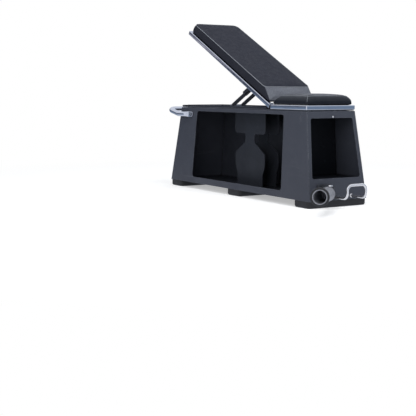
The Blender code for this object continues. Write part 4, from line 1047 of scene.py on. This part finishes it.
def make_handle():
    side = side_y(HANDLE_Z - HANDLE_R) + HANDLE_R + 0.0012
    flat_y = side_y(HANDLE_Z) + GAP * 1.5 + HANDLE_FLAT / 2
    tip = HANDLE_BOLT_X + HANDLE_TIP
    flat_from = HANDLE_BOLT_X - HANDLE_FLAT_RUN
    round_from = flat_from - HANDLE_EASE_RUN
    grip_x = head_end_x(CABINET_TOP) - HANDLE_REACH
    half_way = [(round_from, -side, HANDLE_Z), (HANDLE_BEND_X, -side, HANDLE_Z),
                (grip_x, -side, HANDLE_Z + HANDLE_RISE)]
    bends = filleted_path(half_way + [(x, -y, z) for x, y, z in reversed(half_way)], HANDLE_CORNER)
    # each point of an end: place, how round the tube is there, and how high its flat is
    ends = []
    for s in range(10):
        t = pi / 2 * s / 9
        ends.append((tip - HANDLE_FLAT_HALF * (1 - cos(t)), flat_y, 0.0, max(0.06, sin(t))))
    ends.append((flat_from, flat_y, 0.0, 1.0))
    for s in range(1, 9):
        t = s / 9
        ease = t * t * (3 - 2 * t)
        ends.append((flat_from + (round_from - flat_from) * t, flat_y + (side - flat_y) * ease, ease, 1.0))
    near = [(Vector((x, -y, HANDLE_Z)), e, h, -1) for x, y, e, h in ends]
    far = [(Vector((x, y, HANDLE_Z)), e, h, 1) for x, y, e, h in reversed(ends)]
    run = near + [(p, 1.0, 1.0, 0) for p in bends] + far

    def section(i):
        _, ease, high, _ = run[i]
        out = []
        for c, s in circle(1.0, 32):
            flat_a = (abs(c) ** 0.25) * (1 if c >= 0 else -1) * HANDLE_FLAT / 2
            flat_b = s * HANDLE_FLAT_HALF * high
            out.append((flat_a + (HANDLE_R * c - flat_a) * ease, flat_b + (HANDLE_R * s - flat_b) * ease))
        return out

    rings = carried([spot[0] for spot in run], section)
    # the pressed ends lie along the slope of the side panels
    for ring, (_, ease, _, way) in zip(rings, run):
        if way:
            for k, (x, y, z) in enumerate(ring):
                ring[k] = (x, y - way * SIDE_FLARE * (z - HANDLE_Z) * (1 - ease), z)
    add("transport_handle_tube", loft(rings), "chrome", "cabinet", "chrome", "transport_handle", sharp=70)
    for i, s in enumerate((-1, 1), 1):
        seat = (HANDLE_BOLT_X, s * (flat_y + HANDLE_FLAT / 2 + GAP), HANDLE_Z)
        head = hexagon_head(seat, (0, s, SIDE_FLARE), across=0.0165, height=0.0068, washer=0.012,
                            washer_height=0.0016)
        add(f"handle_bolt_head_{i}", head, "zinc", "cabinet", "zinc", f"handle_bolt_{i}")


def make_hoop():
    root = seat_end_x(HOOP_Z + HOOP_R) + GAP
    front = seat_end_x(HOOP_Z) + HOOP_REACH
    left, right = HOOP_Y - HOOP_WIDTH / 2, HOOP_Y + HOOP_WIDTH / 2
    top = HOOP_Z + HOOP_RISE
    corners = [(root, left, HOOP_Z), (front, left, HOOP_Z), (front, left, top), (front, right, top),
               (front, right, HOOP_Z), (root, right, HOOP_Z)]
    rings = carried(filleted_path(corners, HOOP_BEND), circle(HOOP_R, 24))
    for k in (0, -1):
        rings[k] = [(seat_end_x(z) + GAP, y, z) for x, y, z in rings[k]]
    add("strap_hoop_rod", loft(rings), "satin_chrome", "cabinet", "chrome", "strap_hoop", sharp=60)
    around = HOOP_R + 0.0012
    for y, where in ((left, "near"), (right, "far")):
        foot = Vector((seat_end_x(HOOP_Z), y, HOOP_Z))
        path = [foot + Vector((-END_OUT.z * b, a, END_OUT.x * b)) for a, b in circle(around, 40)]
        rings = carried(path, lambda i: circle(WELD_R + WELD_LUMP * sin(WELD_LUMPS * 2 * pi * i / 40), 10),
                        END_OUT, True)
        add(f"strap_hoop_weld_{where}", loft(rings, True), "satin_chrome", "cabinet", "chrome", sharp=60)


def make_socket():
    """The bored tube with its rounded lips, its closed end and the tongue that it tilts on."""
    r, b, closed, mouth = SOCKET_OUTER_R, SOCKET_BORE_R, SOCKET_TONGUE, SOCKET_MOUTH
    profile = [(closed, 0.004), (closed, r - 0.003), (closed + 0.0009, r - 0.0009), (closed + 0.003, r)]
    profile += [(closed + 0.02 + 0.02 * k, r) for k in range(9)]
    profile += [(mouth - 0.0012, r), (mouth - 0.0003, r - 0.0004), (mouth, r - 0.0012), (mouth, b + 0.0012),
                (mouth - 0.0003, b + 0.0004), (mouth - 0.0012, b), (closed + 0.006, b),
                (closed + 0.005, b - 0.002), (closed + 0.005, 0.003)]
    tube = lathe((0, 0, 0), (1, 0, 0), profile, 56)
    add("bar_socket_tube", tube, "cast", "socket", "black_steel", "bar_socket", sharp=40, at=TILT)
    tongue_r = 0.011
    half = 0.0074
    outline = [(closed + 0.001, -tongue_r), (closed + 0.001, tongue_r)]
    outline += arc(0, 0, tongue_r, pi / 2, pi, 14)
    tongue = piece("bar_socket_tongue", *prism(outline, 1, -half, half), FINISHES["cast"], 38, TILT)
    fit(round_edges(tongue, 0.0008), "socket", "black_steel")
    a, c = half + 0.0006, tongue_r + 0.0006
    bead = [Vector((closed - 0.0002, y, z)) for y, z in rounded([(-a, -c), (a, -c), (a, c), (-a, c)], 0.003)]
    rings = carried(even(bead, 0.0012, True), circle(0.0022, 10), (1, 0, 0), True)
    add("bar_socket_weld", loft(rings, True), "cast", "socket", "black_steel", sharp=60, at=TILT)
    lip = 0.0035
    ring = [(mouth - RING_THICK, r + GAP)]
    ring += arc(mouth - RING_THICK + lip, RING_R - lip, lip, pi, -pi / 2, 6)
    ring += arc(mouth - lip, RING_R - lip, lip, pi / 2, -pi / 2, 6)
    ring.append((mouth, r + GAP))
    shape = lathe((0, 0, 0), (1, 0, 0), ring, 64, True)
    add("socket_lip_ring", shape, "rubber", "socket", "rubber", "socket_ring", sharp=40, at=TILT)


def both_ends(half, length):
    """A turned profile that is the same from both ends."""
    return half + [(length - along, radius) for along, radius in reversed(half)]


def crown(height, radius, steps, shown):
    """A button head's crown, up to where the driver's recess begins."""
    return [(height * sin(t), radius * cos(t)) for t in [pi / 2 * s / steps for s in range(1, shown + 1)]]


def turned(name, start, axis, profile, body, *stands_for, finish="zinc", count=48, at=HERE):
    """A pin, rod or screw made on a lathe."""
    add(name, lathe(start, axis, profile, count), finish, body, "zinc", *stands_for, at=at)


def turned_parts():
    """Pins, rods and screws, each turned with the small chamfers of the real ones."""
    legs = PROP_LEG_SPACING / 2
    outer = legs + PROP_LEG_THICK / 2 + PROP_CHEEK + GAP
    head = [(0.0, 0.0052), (0.0008, 0.0062), (0.003, 0.0062), (0.003, PROP_PIN_R)]
    turned("prop_pin_turned", (-PROP_LENGTH, -outer - 0.003, PROP_N), (0, 1, 0),
           both_ends(head, outer * 2 + 0.006), "backrest", "prop_pin", at=BACK)

    half, neck = FOOT_ROD_LENGTH / 2, FOOT_ROD_R * 0.75
    inner, beyond = legs - PROP_LEG_THICK / 2 - GAP, legs + PROP_LEG_THICK / 2 + GAP
    end = [(0.0, FOOT_ROD_R - 0.001), (0.001, FOOT_ROD_R), (half - beyond, FOOT_ROD_R),
           (half - beyond, neck), (half - inner, neck), (half - inner, FOOT_ROD_R)]
    turned("prop_foot_rod_turned", (-PROP_LENGTH, -half, 0), (0, 1, 0), both_ends(end, FOOT_ROD_LENGTH),
           "prop", "prop_foot_rod", at=PROP)

    for where in ("near", "far"):
        low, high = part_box(f"hinge_pin_{where}")
        end = [(0.0, HINGE_PIN_R - 0.0006), (0.0006, HINGE_PIN_R)]
        turned(f"hinge_pin_{where}_turned", (HINGE_X, low.y, HINGE_Z), (0, 1, 0),
               both_ends(end, high.y - low.y), "cabinet", f"hinge_pin_{where}", count=24)

    low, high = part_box("swivel_pin")
    spot = Vector((SOCKET_AT[0], SOCKET_AT[1], 0))
    up = Vector((0, 0, 1))
    nut_z = high.z - 0.007
    profile = [(0.0, 0.0070), (0.0012, 0.0088), (0.006, 0.0090), (0.006, 0.006), (nut_z - low.z, 0.006)]
    turned("swivel_pin_turned", spot + up * low.z, up, profile, "cabinet", "swivel_pin",
           finish="satin_chrome")
    nut = hexagon_head(spot + up * nut_z, up, across=0.0165, height=0.0055, washer=0.0095,
                       washer_height=0.0015)
    add("swivel_pin_nut", nut, "satin_chrome", "cabinet", "zinc")

    span = 2 * (0.008 + 0.007 + GAP)
    start = (SOCKET_PITCH_ARM, -span / 2, 0)
    head = hexagon_head(start, (0, -1, 0), across=0.0145, height=0.004)
    add("tilt_pin_head", head, "zinc", "swivel", "zinc", at=SWIVEL)
    profile = [(0.0, 0.005), (span, 0.005), (span, 0.008), (span + 0.0012, 0.008), (span + 0.0012, 0.0072),
               (span + 0.005, 0.0072), (span + 0.006, 0.0060)]
    turned("tilt_pin_turned", start, (0, 1, 0), profile, "swivel", "tilt_pin", at=SWIVEL)

    under = CABINET_TOP - SHEET - GAP
    for i in range(1, 5):
        low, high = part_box(f"seat_bolt_{i}")
        spot = Vector(((low.x + high.x) / 2, (low.y + high.y) / 2, under))
        turned(f"seat_bolt_shank_{i}", spot, up, [(0.0, 0.004), (high.z - under, 0.004)], "cabinet",
               f"seat_bolt_{i}", count=24)
        head = hexagon_head(spot, -up, across=0.0130, height=0.0052)
        add(f"seat_bolt_head_{i}", head, "zinc", "cabinet", "zinc")

    profile = [(-0.0135, 0.003), (-GAP, 0.003), (-GAP, 0.0063), (0.0002, 0.0065)]
    profile += [*crown(0.0034, 0.0065, 8, 5), (0.0031, 0.0022), (0.0012, 0.0018)]
    spots = [(x, y) for x in BOARD_SCREW_X for y in (-BOARD_SCREW_Y, BOARD_SCREW_Y)]
    for i, (x, y) in enumerate(spots, 1):
        turned(f"back_board_screw_turned_{i}", (x, y, TUBE_TOP - GAP - 0.008), (0, 0, -1), profile,
               "backrest", f"back_board_screw_{i}", count=32, at=BACK)

    z = POCKET_TOP + 0.005
    profile = [(0.0, 0.0042), (0.0004, 0.0045), *crown(0.0032, 0.0045, 9, 6), (0.0028, 0.0018),
               (0.0014, 0.0016)]
    turned("end_screw_turned", Vector((seat_end_x(z), 0.007, z)) + END_OUT * GAP, END_OUT, profile, "cabinet",
           "end_screw", finish="satin_chrome", count=32)


# Carried-over parts


def make_cleaner():
    """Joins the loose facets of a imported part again, so that a radius can run along its edges."""
    tree = bpy.data.node_groups.new("joined_facets", "GeometryNodeTree")
    for way in ("INPUT", "OUTPUT"):
        tree.interface.new_socket("Geometry", in_out=way, socket_type="NodeSocketGeometry")
    flow = tree.nodes.new("NodeGroupInput").outputs[0]
    for kind, key, value in (("RemoveAttribute", "Name", "custom_normal"),
                             ("RemoveAttribute", "Name", "sharp_edge"),
                             ("MergeByDistance", "Distance", 0.00001),
                             ("SetShadeSmooth", "Shade Smooth", True)):
        step = tree.nodes.new("GeometryNode" + kind)
        step.inputs[key].default_value = value
        tree.links.new(flow, step.inputs["Geometry"])
        flow = step.outputs["Geometry"]
    tree.links.new(flow, tree.nodes.new("NodeGroupOutput").inputs[0])
    return tree


def dress(node, material, cleaner, edge):
    """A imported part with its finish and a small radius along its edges."""
    made = NODES[node]
    for slot in made.material_slots:
        slot.link = "OBJECT"
        slot.material = material
    made.modifiers.new("joined_facets", "NODES").node_group = cleaner
    flat = made.modifiers.new("flat_faces_joined", "DECIMATE")
    flat.decimate_type = "DISSOLVE"
    flat.angle_limit = radians(0.6)
    round_edges(made, edge, 2)


def dress_parts():
    cleaner = make_cleaner()
    plan = {
        "sheet": (("top_deck", 0.0007), ("prop_tray", 0.0007), ("head_rest_strip", 0.0014)),
        "inner_sheet_painted_shade": (("bottom_plate", 0.0007), ("web_plate_near", 0.0006), ("web_plate_far", 0.0006)),
        "pocket_sheet_painted_shade": (("pocket_bulkhead", 0.0007), ("pocket_floor", 0.0007)),
        "rubber": (("skid_seat_end", 0.0012), ("skid_middle", 0.0012), ("skid_head_end", 0.0012)),
        "zinc": (("tooth_channel", 0.0003),),
        "board": (("seat_board", 0.0015), ("back_board", 0.0015)),
        "chrome": (("seat_hinge_leaf_near", 0.0002), ("seat_hinge_leaf_far", 0.0002),
                   ("back_hinge_leaf_near", 0.0002), ("back_hinge_leaf_far", 0.0002)),
        "dark_steel": (("lower_crossbar", 0.0010), ("prop_crossbar", 0.0008), ("upper_crossbar", 0.0010),
                       ("prop_leg_near", 0.0008), ("prop_leg_far", 0.0008), ("socket_bracket", 0.0010),
                       ("swivel_block", 0.0008)),
    }
    for finish, parts in plan.items():
        for node, edge in parts:
            dress(node, FINISHES[finish], cleaner, edge)


# Floor, light and camera


def mixed(tree, share, a, b):
    return put(tree, "MixShader", {0: share, 1: a.outputs[0], 2: b.outputs[0]})


def glow(tree, colour, strength, kind="Emission"):
    return put(tree, kind, {"Color": colour, "Strength": strength})


def make_floor():
    """A pale floor that fades to plain white; chrome sees it tinted, and darker away from the lit side."""
    size = 30.0
    made = piece("studio_floor", [(-size, -size, 0), (size, -size, 0), (size, size, 0), (-size, size, 0)],
                 [(0, 1, 2, 3)], None)
    if made.data.polygons[0].normal.z < 0:
        made.data.flip_normals()
    material = bpy.data.materials.new("studio_floor_paint")
    material.use_nodes = True
    tree = material.node_tree
    tree.nodes.clear()
    here = own_space(tree)
    away = vectors(tree, "LENGTH", here)
    rays = put(tree, "LightPath").outputs
    paint = put(tree, "BsdfDiffuse", {"Color": (0.80, 0.80, 0.80)})
    lift = glow(tree, WHITE, 0.42)
    shaded = put(tree, "AddShader", {0: paint.outputs[0], 1: lift.outputs[0]})
    seen = mixed(tree, ramp(tree, away, 0.9, 2.4, 1.0, 0.0), glow(tree, WHITE, 1.0), shaded)
    facing = vectors(tree, "DOT_PRODUCT", vectors(tree, "NORMALIZE", here), LIT_SIDE)
    lit = blend_colour(tree, ramp(tree, facing, 0.30, 0.75), LOW_TINT, PALE_TINT)
    tint = blend_colour(tree, ramp(tree, away, 0.7, 2.2), PALE_TINT, lit)
    mirrored = mixed(tree, rays["Is Glossy Ray"], paint, glow(tree, tint, 1.0))
    both = mixed(tree, rays["Is Camera Ray"], mirrored, seen)
    put(tree, "OutputMaterial", {"Surface": both.outputs[0]})
    made.data.materials.clear()
    made.data.materials.append(material)


def make_world():
    """White behind the bench, soft light on paint, and a tinted studio for chrome to mirror."""
    world = bpy.data.worlds.new("studio")
    bpy.context.scene.world = world
    world.use_nodes = True
    tree = world.node_tree
    tree.nodes.clear()
    rays = put(tree, "LightPath").outputs
    way = put(tree, "TexCoord").outputs["Generated"]
    height = put(tree, "SeparateXYZ", {0: way}).outputs["Z"]
    facing = vectors(tree, "DOT_PRODUCT", way, DARK_SIDE)
    foot, full_from, full_to, crest = FLAT_BAND
    flat = times(tree, ramp(tree, height, foot, full_from), ramp(tree, height, crest, full_to))
    wall = blend_colour(tree, flat, DARK_TINT, FLAT_TINT)
    tint = layered(tree, PALE_TINT, (ramp(tree, facing, 0.55, 0.85), wall),
                   (ramp(tree, facing, -0.50, -0.80), LOW_TINT), (ramp(tree, height, 0.16, 0.42), PALE_TINT))
    soft = glow(tree, (0.93, 0.96, 1.0), 0.52, "Background")
    first = mixed(tree, rays["Is Glossy Ray"], soft, glow(tree, tint, 1.0, "Background"))
    direct = maths(tree, "MAXIMUM", rays["Is Camera Ray"], rays["Is Transmission Ray"])
    last = mixed(tree, direct, first, glow(tree, WHITE, 1.0, "Background"))
    put(tree, "OutputWorld", {"Surface": last.outputs[0]})


def softbox(name, at, towards, size, power, colour):
    lamp = bpy.data.lights.new(name, "AREA")
    lamp.shape = "RECTANGLE"
    lamp.size, lamp.size_y = size
    lamp.energy = power
    lamp.color = colour
    made = bpy.data.objects.new(name, lamp)
    made.location = at
    made.rotation_euler = (Vector(towards) - Vector(at)).to_track_quat("-Z", "Y").to_euler()
    made.visible_glossy = False
    bpy.context.scene.collection.objects.link(made)


def make_lights():
    softbox("overhead_box", (0.45, -0.25, 2.4), (0.1, 0.0, 0.4), (2.0, 1.4), 29, WHITE)
    softbox("front_box", (1.6, -1.85, 1.2), (0.3, 0.0, 0.3), (1.1, 1.1), 13, WHITE)
    softbox("end_box", (1.75, 1.35, 2.1), (0.24, 0.0, 0.46), (0.9, 0.9), 9, (0.94, 0.97, 1.0))


def make_camera():
    """The photo's view: its place and the way it looks, with its sideways axis nearly level."""
    data = bpy.data.cameras.new("photo_camera")
    data.lens = CAMERA_LENS
    data.clip_start, data.clip_end = 0.05, 200.0
    made = bpy.data.objects.new("photo_camera", data)
    bpy.context.scene.collection.objects.link(made)
    look = Vector(CAMERA_LOOK).normalized()
    right = Vector(CAMERA_RIGHT)
    right = (right - look * right.dot(look)).normalized()
    turn = Matrix((right, right.cross(look), -look)).transposed().to_4x4()
    made.matrix_world = Matrix.Translation(CAMERA_AT) @ turn
    bpy.context.scene.camera = made


bpy.context.scene.view_settings.view_transform = "Standard"
for make in (make_shell, make_rails, make_pads, make_handle, make_hoop, make_socket, turned_parts,
             dress_parts, make_floor, make_world, make_lights, make_camera):
    make()
